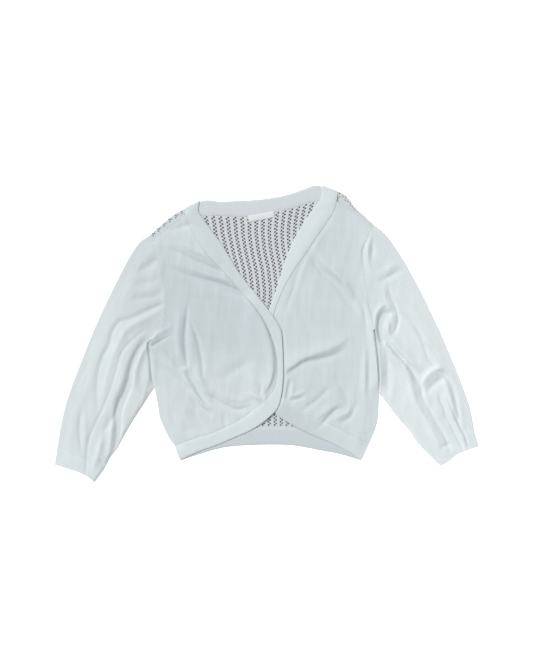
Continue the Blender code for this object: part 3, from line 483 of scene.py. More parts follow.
def nearest(line: Points, plan: Points) -> tuple[Points, Points, Points]:
    """Nearest place on a line for each plan point.

    Returns:
        The distance, which side it is on (+1 left of the line's direction) and how far along, 0 to 1.
    """
    start = line[:-1]
    step = np.diff(line, axis=0)
    size = np.sum(step**2, axis=1)
    away = plan[:, None] - start[None]
    share = np.clip(np.sum(away * step, axis=2) / size, 0, 1)
    gap = away - share[:, :, None] * step
    distance = np.sum(gap**2, axis=2)
    best = np.argmin(distance, axis=1)
    every = np.arange(len(plan))
    cross = step[best, 0] * away[every, best, 1] - step[best, 1] * away[every, best, 0]
    run = travelled(line)
    along = (run[best] + share[every, best] * np.sqrt(size[best])) / run[-1]
    return np.sqrt(distance[every, best]), np.where(cross >= 0, 1.0, -1.0), along


def ease(value: Points) -> Points:
    """Smooth step from 0 to 1."""
    value = np.clip(value, 0, 1)
    return value * value * (3 - 2 * value)


def margin(grid: Points) -> Points:
    """Distance of each grid point from the grid's own border, measured along its rows and columns."""
    over = np.linalg.norm(np.diff(grid, axis=1), axis=2)
    down = np.linalg.norm(np.diff(grid, axis=0), axis=2)
    from_left = np.pad(np.cumsum(over, axis=1), ((0, 0), (1, 0)))
    from_top = np.pad(np.cumsum(down, axis=0), ((1, 0), (0, 0)))
    from_right = from_left[:, -1:] - from_left
    from_bottom = from_top[-1:] - from_top
    return np.minimum.reduce([from_left, from_right, from_top, from_bottom])


def crease_height(creases: list[Crease], plan: Points) -> Points:
    """Sum of the creases at the plan points."""
    total = np.zeros(len(plan))
    for crease in creases:
        knots = np.array(crease.path, float)
        path = smooth(knots, np.linspace(0, len(knots) - 1, CREASE_SAMPLES * len(knots)))
        reach = CREASE_REACH * max(crease.left_width, crease.right_width)
        line = path[:, :2]
        close = np.all((plan > line.min(axis=0) - reach) & (plan < line.max(axis=0) + reach), axis=1)
        if not close.any():
            continue
        distance, side, along = nearest(line, plan[close])
        width = np.where(side > 0, crease.left_width, crease.right_width)
        run = travelled(line)
        height = np.interp(along, run / run[-1], path[:, 2])
        total[close] += height * np.exp(-((distance / width) ** CREASE_FLATNESS))
    return total


class Ripple(NamedTuple):
    """One slow wave of the cloth, in millimetres and degrees."""

    length: float
    heading: float
    phase: float
    height: float


RIPPLES = [
    Ripple(47, 8, 0.4, 0.22),
    Ripple(31, -17, 2.1, 0.16),
    Ripple(23, 78, 1.2, 0.10),
    Ripple(19, 12, 4.4, 0.08),
    Ripple(14, -6, 3.0, 0.06),
    Ripple(63, 64, 5.3, 0.25),
]


def ripple_height(plan: Points) -> Points:
    """Slow unevenness of the cloth at the plan points."""
    total = np.zeros(len(plan))
    bent = plan + RIPPLE_BEND * np.sin(plan[:, ::-1] / RIPPLE_BEND_LENGTH)
    for ripple in RIPPLES:
        turn = math.radians(ripple.heading)
        run = bent[:, 0] * math.cos(turn) + bent[:, 1] * math.sin(turn)
        total += ripple.height * np.sin(2 * math.pi * run / ripple.length + ripple.phase)
    return total


@dataclass(frozen=True)
class Side:
    """Plan of one side of the cardigan, in millimetres."""

    name: str
    band: list[Section]
    corner: int
    armhole: Points
    side_seam: Points
    sleeve_outer: Points
    sleeve_inner: Points
    cuff_seam: Points
    cuff_edge: Points
    shoulder_fold: Points
    shoulder_seam: Points
    strip_seam_end: tuple[float, float]
    creases: list[Crease]
    covered_by: list[Section] | None = None
    seam_ease: float = 5.0
    passes_over: list[Section] | None = None

    def strip_seam(self) -> Points:
        """Shoulder seam as the turned back meets it."""
        return np.concatenate([self.shoulder_seam[:-1], [self.strip_seam_end]])

    def cuff_fold(self, end: int) -> Points:
        """Folded edge of the flat cuff: 0 for the outer one, -1 for the inner."""
        return np.array([self.cuff_seam[end], self.cuff_edge[end]])


def plan_line(*points: tuple[float, float]) -> Points:
    """Line through plan points, in millimetres."""
    return np.array(points)


RIGHT = Side(
    name="right",
    band=RIGHT_BAND,
    corner=RIGHT_CORNER,
    armhole=plan_line(
        (-212, 175), (-207, 164), (-202, 142), (-194, 119), (-188, 95), (-184, 68), (-184, 45), (-186, 23),
        (-194, 4), (-204, -10), (-212, -18),
    ),
    side_seam=plan_line(
        (-212, -18), (-209, -49), (-206, -81), (-202, -99), (-197, -126), (-192, -153), (-183, -175),
        (-172, -195), (-165, -203),
    ),
    sleeve_outer=plan_line(
        (-212, 175), (-226, 166), (-240, 148), (-258, 116), (-285, 62), (-310, 8), (-336, -57), (-356, -110),
        (-370, -164), (-377, -207),
    ),
    sleeve_inner=plan_line(
        (-202, -99), (-222, -131), (-237, -154), (-256, -186), (-268, -208), (-278, -221), (-293, -248),
    ),
    cuff_seam=plan_line((-377, -207), (-352, -215), (-322, -228), (-293, -248)),
    cuff_edge=plan_line((-382, -237), (-354, -245), (-328, -255), (-308, -269)),
    shoulder_fold=plan_line((-212, 175), (-192, 193), (-170, 211), (-148.8, 223.9)),
    shoulder_seam=plan_line((-207, 164), (-192, 177), (-174, 191), (-156, 205), (-146, 213)),
    strip_seam_end=(-146.7, 212.6),
    creases=RIGHT_CREASES,
    passes_over=LEFT_BAND[FIRST_HIDDEN:LAST_HIDDEN + 1],
)

LEFT = Side(
    name="left",
    band=LEFT_BAND,
    corner=LEFT_CORNER,
    armhole=plan_line(
        (194, 194), (190, 188), (182, 171), (176, 157), (172, 140), (172, 122), (176, 104), (179, 86),
        (183, 65), (186, 45), (190, 27), (194, 4),
    ),
    side_seam=plan_line(
        (194, 4), (199, -31), (202, -67), (203, -110), (202, -135), (200, -158), (195, -176), (184, -201),
    ),
    sleeve_outer=plan_line(
        (194, 194), (210, 182), (235, 149), (267, 95), (299, 31), (328, -34), (354, -99), (368, -142),
        (374, -177),
    ),
    sleeve_inner=plan_line((203, -110), (219, -131), (235, -153), (255, -175), (269, -196), (292, -220)),
    cuff_seam=plan_line((374, -177), (350, -186), (325, -202), (292, -220)),
    cuff_edge=plan_line((382, -204), (359, -212), (345, -217), (330, -229), (312, -240)),
    shoulder_fold=plan_line(
        (194, 194), (184, 203), (174, 213), (163, 222), (156, 230), (150, 239), (141, 249), (127.7, 255.8),
    ),
    shoulder_seam=plan_line((190, 188), (174, 205), (161, 214), (150, 220), (138, 230), (125, 236)),
    strip_seam_end=(125.7, 236.2),
    creases=LEFT_CREASES,
    covered_by=RIGHT_BAND,
    seam_ease=2.5,
)


@dataclass
class Relief:
    """How one side's upper layers rise above what lies under them.

    The fades are the distances from an edge over which the swell dies out. The steps are how far from a
    covered band's middle the cloth starts to rise over it, and over what distance.
    """

    side: Side
    band_fade: float = 26.0
    outer_fade: float = 30.0
    inner_fade: float = 7.0
    side_fade: float = 24.0
    shoulder_fade: float = 14.0
    cover_start: float = 1.0
    cover_fade: float = 5.0
    back_band_step: tuple[float, float] = (36.0, 16.0)
    front_band_step: tuple[float, float] = (53.0, 26.0)
    softness: float = 0.5

    def __post_init__(self) -> None:
        """Draws the lines from which distances are measured."""
        side = self.side
        start = np.concatenate([seam_of(side.band[:1]), free_of(side.band[:1])])
        self.edges = [
            (fine(free_of(side.band)), self.band_fade),
            (fine(np.concatenate([side.sleeve_outer, side.cuff_edge[:1]])), self.outer_fade),
            (fine(np.concatenate([side.sleeve_inner, side.cuff_edge[-1:]])), self.inner_fade),
            (fine(side.side_seam[:TOUCHING_KNOT + 1]), side.seam_ease),
            (fine(side.side_seam[TOUCHING_KNOT:]), self.side_fade),
            (fine(side.shoulder_fold), self.shoulder_fade),
            (fine(start), self.shoulder_fade),
        ]
        self.cover = None if side.covered_by is None else fine(free_of(side.covered_by))
        back_bands = (middle_of(NECK_BAND), middle_of(HEM_BAND))
        self.covered = [(line, ON_BACK_BAND, self.back_band_step) for line in back_bands]
        if side.passes_over is not None:
            self.covered.append((middle_of(side.passes_over), ON_LEFT_BAND, self.front_band_step))

    def lift(self, plan: Points) -> Points:
        """Rise of the cloth at the plan points, never below nought."""
        swell = LOFT + crease_height(self.side.creases, plan) + ripple_height(plan)
        swell = 0.5 * (swell + np.sqrt(swell**2 + self.softness))
        for line, fade in self.edges:
            swell = swell * ease(nearest(line, plan)[0] / fade)
        if self.cover is not None:
            distance, side, _ = nearest(self.cover, plan)
            swell = swell * ease((distance * side - self.cover_start) / self.cover_fade)
        return swell

    def floor(self, plan: Points) -> Points:
        """Underside of the upper layer where the cloth has no crease."""
        height = np.full(len(plan), ON_BACK)
        for line, level, (reach, fade) in self.covered:
            share = ease((reach - nearest(line, plan)[0]) / fade)
            height = np.maximum(height, ON_BACK + (level - ON_BACK) * share)
        return height

    def under(self, grid: Points) -> Points:
        """Height of the upper layer's underside over a plan grid or line."""
        plan = grid.reshape(-1, 2)
        return (self.floor(plan) + self.lift(plan)).reshape(grid.shape[:-1])


def raised(grid: Points, height: Points | float) -> Points:
    """Plan grid or line with its heights as third coordinate."""
    height = np.broadcast_to(height, grid.shape[:-1])
    return np.concatenate([grid, height[..., None]], axis=-1)


class Placing:
    """Turns table millimetres into the part's metres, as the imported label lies."""

    shift = np.array([0.0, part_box("label")[1].y / MM - LABEL_CORNERS[1][1], 0.0])

    @classmethod
    def metres(cls, points: Points) -> Points:
        """Points in the part's frame, in metres."""
        return (points + cls.shift) * MM


@dataclass(frozen=True)
class Wire:
    """One output of a node, with arithmetic that adds Math nodes."""

    graph: "Graph"
    socket: Any

    def maths(self, operation: str, first: Any, second: Any = 0.0) -> "Wire":
        """Result of a Math node.

        Args:
            operation: the node's operation.
            first: its first value.
            second: its second value.

        Returns:
            The node's output.
        """
        node = self.graph.node("ShaderNodeMath", {"operation": operation}, {0: first, 1: second})
        return Wire(self.graph, node.outputs[0])

    def __add__(self, other: Any) -> "Wire":
        """Sum."""
        return self.maths("ADD", self, other)

    __radd__ = __add__

    def __mul__(self, other: Any) -> "Wire":
        """Product."""
        return self.maths("MULTIPLY", self, other)

    __rmul__ = __mul__

    def __sub__(self, other: Any) -> "Wire":
        """Difference."""
        return self.maths("SUBTRACT", self, other)

    def __rsub__(self, other: Any) -> "Wire":
        """Difference from a number."""
        return self.maths("SUBTRACT", other, self)

    def fraction(self) -> "Wire":
        """Part behind the decimal point."""
        return self.maths("FRACT", self)

    def size(self) -> "Wire":
        """Absolute value."""
        return self.maths("ABSOLUTE", self)

    def sine(self) -> "Wire":
        """Sine of the angle in radians."""
        return self.maths("SINE", self)


class Graph:
    """Node tree of one material."""

    def __init__(self, name: str) -> None:
        """Makes the material with its surface shader.

        Args:
            name: the material's name.
        """
        self.material = bpy.data.materials.new(name)
        self.material.use_nodes = True
        self.tree = self.material.node_tree
        self.shader = self.tree.nodes["Principled BSDF"]

    def feed(self, socket: Any, value: Any) -> None:
        """Links or sets one input socket."""
        if isinstance(value, Wire):
            self.tree.links.new(value.socket, socket)
        else:
            socket.default_value = value

    def node(self, kind: str, settings: dict[str, Any], sockets: dict[Any, Any]) -> Any:
        """Adds a node.

        Args:
            kind: the node's type.
            settings: its own settings, set first.
            sockets: values or wires of its inputs.

        Returns:
            The node.
        """
        made = self.tree.nodes.new(kind)
        for key, value in settings.items():
            setattr(made, key, value)
        for key, value in sockets.items():
            self.feed(made.inputs[key], value)
        return made

    def wire(self, kind: str, settings: dict[str, Any], sockets: dict[Any, Any], output: Any = 0) -> Wire:
        """Adds a node and returns one of its outputs."""
        return Wire(self, self.node(kind, settings, sockets).outputs[output])

    def mix(self, share: Any, first: Any, second: Any) -> Wire:
        """Mixes two colours.

        Args:
            share: how much of the second.
            first: colour or wire.
            second: colour or wire.

        Returns:
            The mixed colour.
        """
        return self.wire("ShaderNodeMix", {"data_type": "RGBA"}, {0: share, 6: first, 7: second}, 2)

    def cloth(self) -> tuple[Wire, Wire]:
        """Distances across and along the cloth in millimetres, from its own map."""
        place = self.wire("ShaderNodeUVMap", {"uv_map": CLOTH_MAP}, {})
        split = self.node("ShaderNodeSeparateXYZ", {}, {0: place})
        return Wire(self, split.outputs[0]), Wire(self, split.outputs[1])

    def bump(self, height: Wire, rise: float) -> Wire:
        """Surface direction of a relief that rises by a number of millimetres."""
        return self.wire("ShaderNodeBump", {}, {"Strength": 1.0, "Distance": rise * MM, "Height": height})

    def surface(self, **sockets: Any) -> None:
        """Sets the surface shader's sockets, written with underscores for spaces."""
        for key, value in sockets.items():
            self.feed(self.shader.inputs[key.replace("_", " ")], value)


def opaque(colour: Colour) -> tuple[float, ...]:
    """Colour that covers fully."""
    return (*colour, 1.0)


class Grain(NamedTuple):
    """Noise of a cloth: fineness across and along, place in the pattern, detail and weight in the tone."""

    across: float
    along: float
    place: float
    detail: float
    weight: float


@dataclass(frozen=True)
class Knit:
    """Finish of a knitted cloth, its pattern in millimetres on the cloth's own map."""

    name: str
    colour: Colour
    # Painted shade and painted light: the second colour and its ramp along one cloth axis leave the piece
    # darker near the ramp's centre and lighter away from it, as the light falls on it
    far_painted_tone: Colour | None = None
    ramp_axis: int = 1
    ramp: Triple = (0.0, 0.0, 1.0)
    wale: float = 1.5
    course: float = 1.1
    slant: float = 0.6
    stitch_height: float = 0.25
    leg_height: float = 0.5
    streak_height: float = 2.0
    painted_stitch_shade: float = 0.1
    relief: float = 0.09
    streak: float = 0.09
    mid_tone: float = 0.45
    roughness: float = 0.85
    nap: float = 0.12
    nap_roughness: float = 0.5
    shine: float = 0.25
    streaks: Grain = Grain(0.16, 0.018, 0.0, 2.0, 0.8)
    spots: Grain = Grain(0.42, 0.36, 3.0, 1.0, 0.8)
    fluff: Grain = Grain(0.9, 0.8, 7.0, 1.0, 0.9)

    def noise(self, graph: Graph, across: Wire, along: Wire, grain: Grain) -> Wire:
        """Unevenness of the cloth, from 0 to 1."""
        place = {0: across * grain.across, 1: along * grain.along, 2: grain.place}
        vector = graph.wire("ShaderNodeCombineXYZ", {}, place)
        return graph.wire("ShaderNodeTexNoise", {}, {"Vector": vector, "Scale": 1.0, "Detail": grain.detail})

    def base(self, graph: Graph, across: Wire, along: Wire) -> Any:
        """Colour of the piece, with a slow ramp of painted shade and painted light over it."""
        colour = opaque(self.colour)
        if self.far_painted_tone is None:
            return colour
        centre, start, end = self.ramp
        distance = ((across, along)[self.ramp_axis] - centre).size()
        share = graph.wire(
            "ShaderNodeMapRange", {"interpolation_type": "SMOOTHSTEP"},
            {"Value": distance, "From Min": start, "From Max": end},
        )
        return graph.mix(share, colour, opaque(self.far_painted_tone))

    def material(self) -> Material:
        """Makes the material: stitch legs, uneven tone along the wales, painted shade in the stitch grooves
        and a soft nap.
        """
        graph = Graph(self.name)
        across, along = graph.cloth()
        leg = ((across * (1 / self.wale)).fraction() * 2 - 1).size()
        stitch = ((along * (1 / self.course) + leg * self.slant) * (2 * math.pi)).sine()
        height = stitch * self.stitch_height + (1 - leg) * self.leg_height + self.stitch_height
        streaky, spotty, fluffy = (
            self.noise(graph, across, along, grain) for grain in (self.streaks, self.spots, self.fluff)
        )
        # Painted light and painted shade: the tone follows the stitch relief, lighter on the raised stitches
        # and darker in the grooves
        tone = (streaky - 0.5) * self.streaks.weight + (spotty - 0.5) * self.spots.weight
        tone = tone + (fluffy - 0.5) * self.fluff.weight + height * self.painted_stitch_shade
        base = self.base(graph, across, along)
        dark = graph.mix(self.streak, base, opaque(BLACK))
        light = graph.mix(self.streak, base, opaque(WHITE))
        graph.surface(
            Base_Color=graph.mix(tone + self.mid_tone, dark, light), Roughness=self.roughness,
            Normal=graph.bump(height + streaky * self.streak_height, self.relief),
            Specular_IOR_Level=self.shine, Sheen_Weight=self.nap, Sheen_Roughness=self.nap_roughness,
        )
        return graph.material


def rib(
    name: str, colour: Colour, far_painted_tone: Colour | None = None, ramp: Triple = (0.0, 0.0, 1.0),
) -> Knit:
    """Finish of a fine rib, whose colour may change slowly along the band as painted shade and painted light.

    Args:
        name: the material's name.
        colour: its colour.
        far_painted_tone: its colour far from the ramp's centre, lighter as painted light.
        ramp: centre, start and end of the change, in millimetres along the band.

    Returns:
        The finish.
    """
    return Knit(name, colour, far_painted_tone, 0, ramp, course=1.2, relief=0.05, streak=0.05)


@dataclass(frozen=True)
class Satin:
    """Finish of the woven label."""

    name: str = "label_satin"
    colour: Colour = (0.79, 0.825, 0.83)
    depth: float = 0.95
    relief: float = 0.03
    gloss: tuple[float, float] = (0.15, 0.38)
    twill: tuple[float, float] = (9.0, 5.0)
    threads: float = 21.0
    twill_share: float = 0.6
    shine: float = 0.5

    def material(self) -> Material:
        """Makes the material: a fine slanting weave with a soft gloss."""
        graph = Graph(self.name)
        across, along = graph.cloth()
        twill = (across * self.twill[0] + along * self.twill[1]).sine() * 0.5 + 0.5
        threads = (along * self.threads).sine() * 0.5 + 0.5
        height = twill * self.twill_share + threads * (1 - self.twill_share)
        dark = tuple(value * self.depth for value in self.colour)
        graph.surface(
            Base_Color=graph.mix(height, opaque(dark), opaque(self.colour)),
            Roughness=height * self.gloss[0] + self.gloss[1],
            Normal=graph.bump(height, self.relief), Specular_IOR_Level=self.shine,
        )
        return graph.material


def grid_vertices(mesh: Mesh, rows: int, columns: int) -> list[tuple[bmesh.types.BMVert, int, int]]:
    """Adds a grid to a mesh.

    Args:
        mesh: the mesh.
        rows, columns: points of the grid each way.

    Returns:
        Each new vertex with its row and column.
    """
    made = bmesh.ops.create_grid(mesh, x_segments=columns - 1, y_segments=rows - 1, size=1.0)
    return [
        (vertex, round((vertex.co.y + 1) / 2 * (rows - 1)), round((vertex.co.x + 1) / 2 * (columns - 1)))
        for vertex in made["verts"]
    ]


class Shell:
    """Closed cloth mesh made from pairs of skins that share whole edges."""

    def __init__(self, name: str) -> None:
        """Starts an empty mesh.

        Args:
            name: the piece's name.
        """
        self.name = name
        self.mesh = bmesh.new()
        self.place = self.mesh.verts.layers.int.new("place")
        self.map = self.mesh.loops.layers.uv.new(CLOTH_MAP)
        self.inner: list[Points] = []

    def add(self, outer: Points, inner: Points, cloth: Points, holes: Points | None = None) -> None:
        """Adds one pair of skins.

        Args:
            outer: rows and columns of the visible skin's points, in millimetres.
            inner: the same of the hidden skin.
            cloth: the cloth's own coordinates, in millimetres.
            holes: which cells are left open.
        """
        rows, columns = outer.shape[:2]
        made = grid_vertices(self.mesh, rows, columns)
        start = len(self.inner)
        places = Placing.metres(outer).reshape(-1, 3)
        cloth = cloth.reshape(-1, 2)
        for vertex, row, column in made:
            index = row * columns + column
            vertex[self.place] = start + index
            vertex.co = places[index]
        opened = []
        for face in {face for vertex, _, _ in made for face in vertex.link_faces}:
            lowest = min(vertex[self.place] for vertex in face.verts) - start
            if holes is not None and holes[divmod(lowest, columns)]:
                opened.append(face)
                continue
            for corner in face.loops:
                corner[self.map].uv = cloth[corner.vert[self.place] - start]
        if opened:
            bmesh.ops.delete(self.mesh, geom=opened, context="FACES")
        self.inner.extend(Placing.metres(inner).reshape(-1, 3))

    def finish(self, material: Material) -> Thing:
        """Closes the mesh with its hidden skin.

        Args:
            material: the finish.

        Returns:
            The finished object.
        """
        mesh = self.mesh
        bmesh.ops.remove_doubles(mesh, verts=mesh.verts, dist=WELD)
        grown = bmesh.ops.extrude_face_region(mesh, geom=mesh.faces[:], use_keep_orig=True)
        for piece in grown["geom"]:
            if isinstance(piece, bmesh.types.BMVert):
                piece.co = self.inner[piece[self.place]]
        bmesh.ops.recalc_face_normals(mesh, faces=mesh.faces)
        return keep(self.name, mesh, material)


def keep(name: str, mesh: Mesh, material: Material, crisp: float = 0.9) -> Thing:
    """Makes an object of a finished mesh.

    Args:
        name: the piece's name.
        mesh: its mesh, freed afterwards.
        material: its finish.
        crisp: angle from which an edge is shaded sharp, in radians.

    Returns:
        The object.
    """
    data = bpy.data.meshes.new(name)
    mesh.to_mesh(data)
    mesh.free()
    data.shade_smooth()
    data.set_sharp_from_angle(angle=crisp)
    data.materials.append(material)
    thing = bpy.data.objects.new(name, data)
    bpy.context.scene.collection.objects.link(thing)
    return thing


def hand_over(piece: Thing, node: str | None = None) -> None:
    """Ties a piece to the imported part.

    Args:
        piece: the finished piece.
        node: the solid that it stands for, if any.
    """
    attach(piece, "root")
    if node is not None:
        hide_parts(node)
    logging.info("%s: %d faces", piece.name, len(piece.data.polygons))


@dataclass
class Piece:
    """Sub-assembly that dresses one solid with a closed shell of cloth."""

    slot: ClassVar[Slot]
    name: str
    node: str
    finish: Knit | Satin

    def fill(self, shell: Shell) -> None:
        """Adds the piece's skins.

        Args:
            shell: the mesh that takes them.
        """
        raise NotImplementedError

    def dress(self) -> Thing:
        """Builds the piece and ties it to its solid.

        Returns:
            The piece.
        """
        shell = Shell(self.name)
        self.fill(shell)
        piece = shell.finish(self.finish.material())
        hand_over(piece, self.node)
        return piece


@dataclass
class FrontPanel(Piece):
    """Plain front of one side."""

    slot = Slot.JERSEY
    relief: Relief
    columns: int = 124
    arm_rows: int = 112
    side_rows: int = 122
    edge_drop: float = 0.5
    edge_width: float = 2.4

    def fill(self, shell: Shell) -> None:
        """Adds the panel between its shoulder, armhole, side and band seams."""
        side = self.relief.side
        seam = seam_of(side.band)
        top = even(side.shoulder_seam, self.columns)
        armhole = even(side.armhole, self.arm_rows, first=1)
        left = np.concatenate([armhole, even(side.side_seam, self.side_rows)[1:]])
        right = even(seam, self.arm_rows + self.side_rows, 1, side.corner)
        bottom = even(seam, self.columns, side.corner)[::-1]
        left[0], right[0], left[-1] = top[0], top[-1], bottom[0]
        grid = inset(patch(top, bottom, left, right), top=GAP, bottom=GAP, left=SIDE_GAP, right=GAP)
        under = self.relief.under(grid)
        over = under + PANEL_WALL - self.edge_drop * (1 - np.clip(margin(grid) / self.edge_width, 0, 1)) ** 2
        shell.add(raised(grid, over), raised(grid, under), grid)


@dataclass
class Band(Piece):
    """Ribbed band, its cross-section rounded at both edges and a little crowned.

    A band with a relief lies on the layers below and starts turned down over the shoulder. One without lies
    on the table. Each edge's rounding is its depth, its width and how far from the edge the ribs fade out.
    """

    slot = Slot.RIB
    strip: list[Section]
    relief: Relief | None = None
    step: float = 0.75
    seam_columns: tuple[float, ...] = (0.0, 0.5)
    body_from_seam: float = 1.3
    body_from_free: float = 1.8
    body_columns: int = 7
    free_columns: tuple[float, ...] = (0.9, 0.3, 0.0)
    crown: float = 0.2
    free_round: Triple = (0.9, 2.0, 2.5)
    seam_round: Triple = (0.5, 1.6, 1.5)
    turn: float = 5.0
    turned_share: float = 0.3
    turn_lift: float = 2.2

    def lay(self) -> tuple[Points, Points, Points, Points]:
        """Lays the band out.

        Returns:
            The plan grid, each point's distances from the sewn and the free edge, and each row's run.
        """
        middle = middle_of(self.strip)
        length = travelled(fine(middle))[-1]
        at = spread(middle, 0, len(middle) - 1, round(length / self.step))
        seam = smooth(seam_of(self.strip), at)
        free = smooth(free_of(self.strip), at)
        width = np.linalg.norm(free - seam, axis=1)
        body = width - (self.body_from_seam + self.body_from_free)
        offsets = [np.full(len(seam), distance) for distance in self.seam_columns]
        offsets += [self.body_from_seam + share * body for share in np.linspace(0, 1, self.body_columns)]
        offsets += [width - distance for distance in self.free_columns]
        from_seam = np.stack(offsets, axis=1)
        share = (from_seam / width[:, None])[..., None]
        grid = seam[:, None] + share * (free - seam)[:, None]
        return grid, from_seam, width[:, None] - from_seam, travelled(smooth(middle, at))

    def thickness(self, from_seam: Points, from_free: Points, run: Points) -> Points:
        """Thickness of the band over its plan.

        Args:
            from_seam: distance from the sewn edge.
            from_free: distance from the free edge.
            run: distance along the band, one value a row.

        Returns:
            Heights in millimetres.
        """
        drop = 0
        fade = 1
        edges = ((from_free, self.free_round), (from_seam, self.seam_round))
        for distance, (deep, wide, ribs_end) in edges:
            drop = drop + deep * (1 - np.clip(distance / wide, 0, 1)) ** 2
            fade = fade * np.clip(distance / ribs_end, 0, 1)
        crown = self.crown * np.sin(math.pi * from_seam / (from_seam + from_free))
        ribs = RIB_RELIEF * np.cos(2 * math.pi * run / RIB_PITCH)[:, None] * fade
        return BAND_WALL + crown - drop + ribs

    def fill(self, shell: Shell) -> None:
        """Adds the band's faces."""
        grid, from_seam, from_free, run = self.lay()
        under = np.zeros(from_seam.shape) if self.relief is None else self.relief.under(grid)
        over = under + self.thickness(from_seam, from_free, run)
        if self.relief is not None:
            start = np.clip(run / self.turn, 0, 1)[:, None]
            over *= self.turned_share + (1 - self.turned_share) * np.sqrt(1 - (1 - start) ** 2)
            under *= ease(run / self.turn_lift)[:, None]
        cloth = np.stack([np.broadcast_to(run[:, None], from_seam.shape), from_seam], axis=2)
        shell.add(raised(grid, over), raised(grid, under), cloth)


@dataclass
class Tube(Piece):
    """Flattened tube that lies on the table."""

    relief: Relief
    upper: int = 92
    under: int = 18
    wall: float = PANEL_WALL
    ceiling: float = ON_BACK
    edge_steps: tuple[float, ...] = (0.35, 1.2)
    edge_width: float = 2.2
    skin_lap: float = 0.2
    rib_relief: float = 0.0

    def plan(self) -> Points:
        """Plan grid from the outer edge to the inner, one row a ring."""
        raise NotImplementedError

    def fill(self, shell: Shell) -> None:
        """Adds both skins, with the first column repeated as the last."""
        grid = self.plan()
        within = inset(grid, left=self.wall - self.skin_lap, right=self.wall - self.skin_lap)
        down = travelled(grid[:, grid.shape[1] // 2])
        outer, cloth = self.skin(grid, down, True)
        inner, _ = self.skin(within, down, False)
        shell.add(outer, inner, cloth)

    def skin(self, grid: Points, down: Points, outside: bool) -> tuple[Points, Points]:
        """Rings of one skin.

        Args:
            grid: plan grid of the skin.
            down: distance of each ring along the tube.
            outside: whether this is the visible skin.

        Returns:
            Points of the skin and its cloth coordinates.
        """
        edge = np.array(self.edge_steps)
        above = len(edge) * 2 + self.upper + 2
        plans = []
        clothes = []
        for row, distance in zip(grid, down):
            run = travelled(row)
            width = run[-1]
            upper = np.linspace(self.edge_width, width - self.edge_width, self.upper)
            lower = np.linspace(width - self.edge_width, self.edge_width, self.under)
            around = np.concatenate([
                [0], edge, upper, width - edge[::-1], [width], width - edge, lower, edge[::-1], [0],
            ])
            plans.append(np.stack([np.interp(around, run, row[:, axis]) for axis in (0, 1)], axis=1))
            wound = np.concatenate([around[:above] - width / 2, 1.5 * width - around[above:]])
            clothes.append(np.stack([wound, np.full(len(wound), distance)], axis=1))
        plan = np.stack(plans)
        cloth = np.stack(clothes)
        height = self.ceiling + self.relief.lift(plan.reshape(-1, 2)).reshape(plan.shape[:2])
        if outside:
            ribs = np.cos(2 * math.pi * cloth[:, 1:above - 1, 0] / RIB_PITCH)
            height = height + self.wall
            height[:, 1:above - 1] += self.rib_relief * ribs
        bottom = 0.0 if outside else self.wall
        height[:, above:] = bottom
        self.round_edges(height, above, bottom)
        return raised(plan, height), cloth

    def round_edges(self, height: Points, above: int, bottom: float) -> None:
        """Rounds a skin's heights at both edges.

        Args:
            height: rings and columns of heights, changed in place.
            above: columns of the upper side.
            bottom: height of the lower side.
        """
        middle = (self.ceiling + self.wall) / 2
        bend = np.sin(np.linspace(0, math.pi / 2, len(self.edge_steps) + 2))[1:-1]
        for column, share in enumerate(bend, 1):
            for upper, lower in ((column, -1 - column), (above - 1 - column, above - 1 + column)):
                height[:, upper] = middle + share * (height[:, upper] - middle)
                height[:, lower] = middle + share * (bottom - middle)
        height[:, [0, above - 1, -1]] = middle


@dataclass
class Sleeve(Tube):
    """Set-in sleeve of one side, a tube pressed flat."""

    slot = Slot.JERSEY
    coarse_rings: int = 26
    touching_rings: int = 6
    coarse_across: int = 48
    rounds: int = 1500
    rings: int = 226

    def plan(self) -> Points:
        """Plan grid from the armhole to the cuff seam."""
        side = self.relief.side
        top = even(side.armhole, self.coarse_across, 0, len(side.armhole) - 2)
        touching = even(side.side_seam, self.touching_rings, 0, TOUCHING_KNOT)
        open_edge = even(side.sleeve_inner, self.coarse_rings - self.touching_rings - 1)
        inner = np.concatenate([top[-1:], touching, open_edge[1:]])
        outer = even(side.sleeve_outer, self.coarse_rings)
        grid = relax(patch(top, even(side.cuff_seam, self.coarse_across), outer, inner), self.rounds)
        return inset(finer(grid, self.rings, 2 * self.coarse_across), top=SIDE_GAP, right=SIDE_GAP)


@dataclass
class Cuff(Tube):
    """Ribbed cuff of one side."""

    slot = Slot.RIB
    upper: int = 116
    under: int = 30
    wall: float = CUFF_WALL
    ceiling: float = ON_CUFF_BACK
    rib_relief: float = 0.1
    rings: int = 12
    across: int = 96

    def plan(self) -> Points:
        """Plan grid from the cuff seam to the edge."""
        side = self.relief.side
        grid = patch(
            even(side.cuff_seam, self.across), even(side.cuff_edge, self.across),
            even(side.cuff_fold(0), self.rings), even(side.cuff_fold(-1), self.rings),
        )
        return inset(grid, top=CUFF_GAP, right=SLEEVE_GAP)


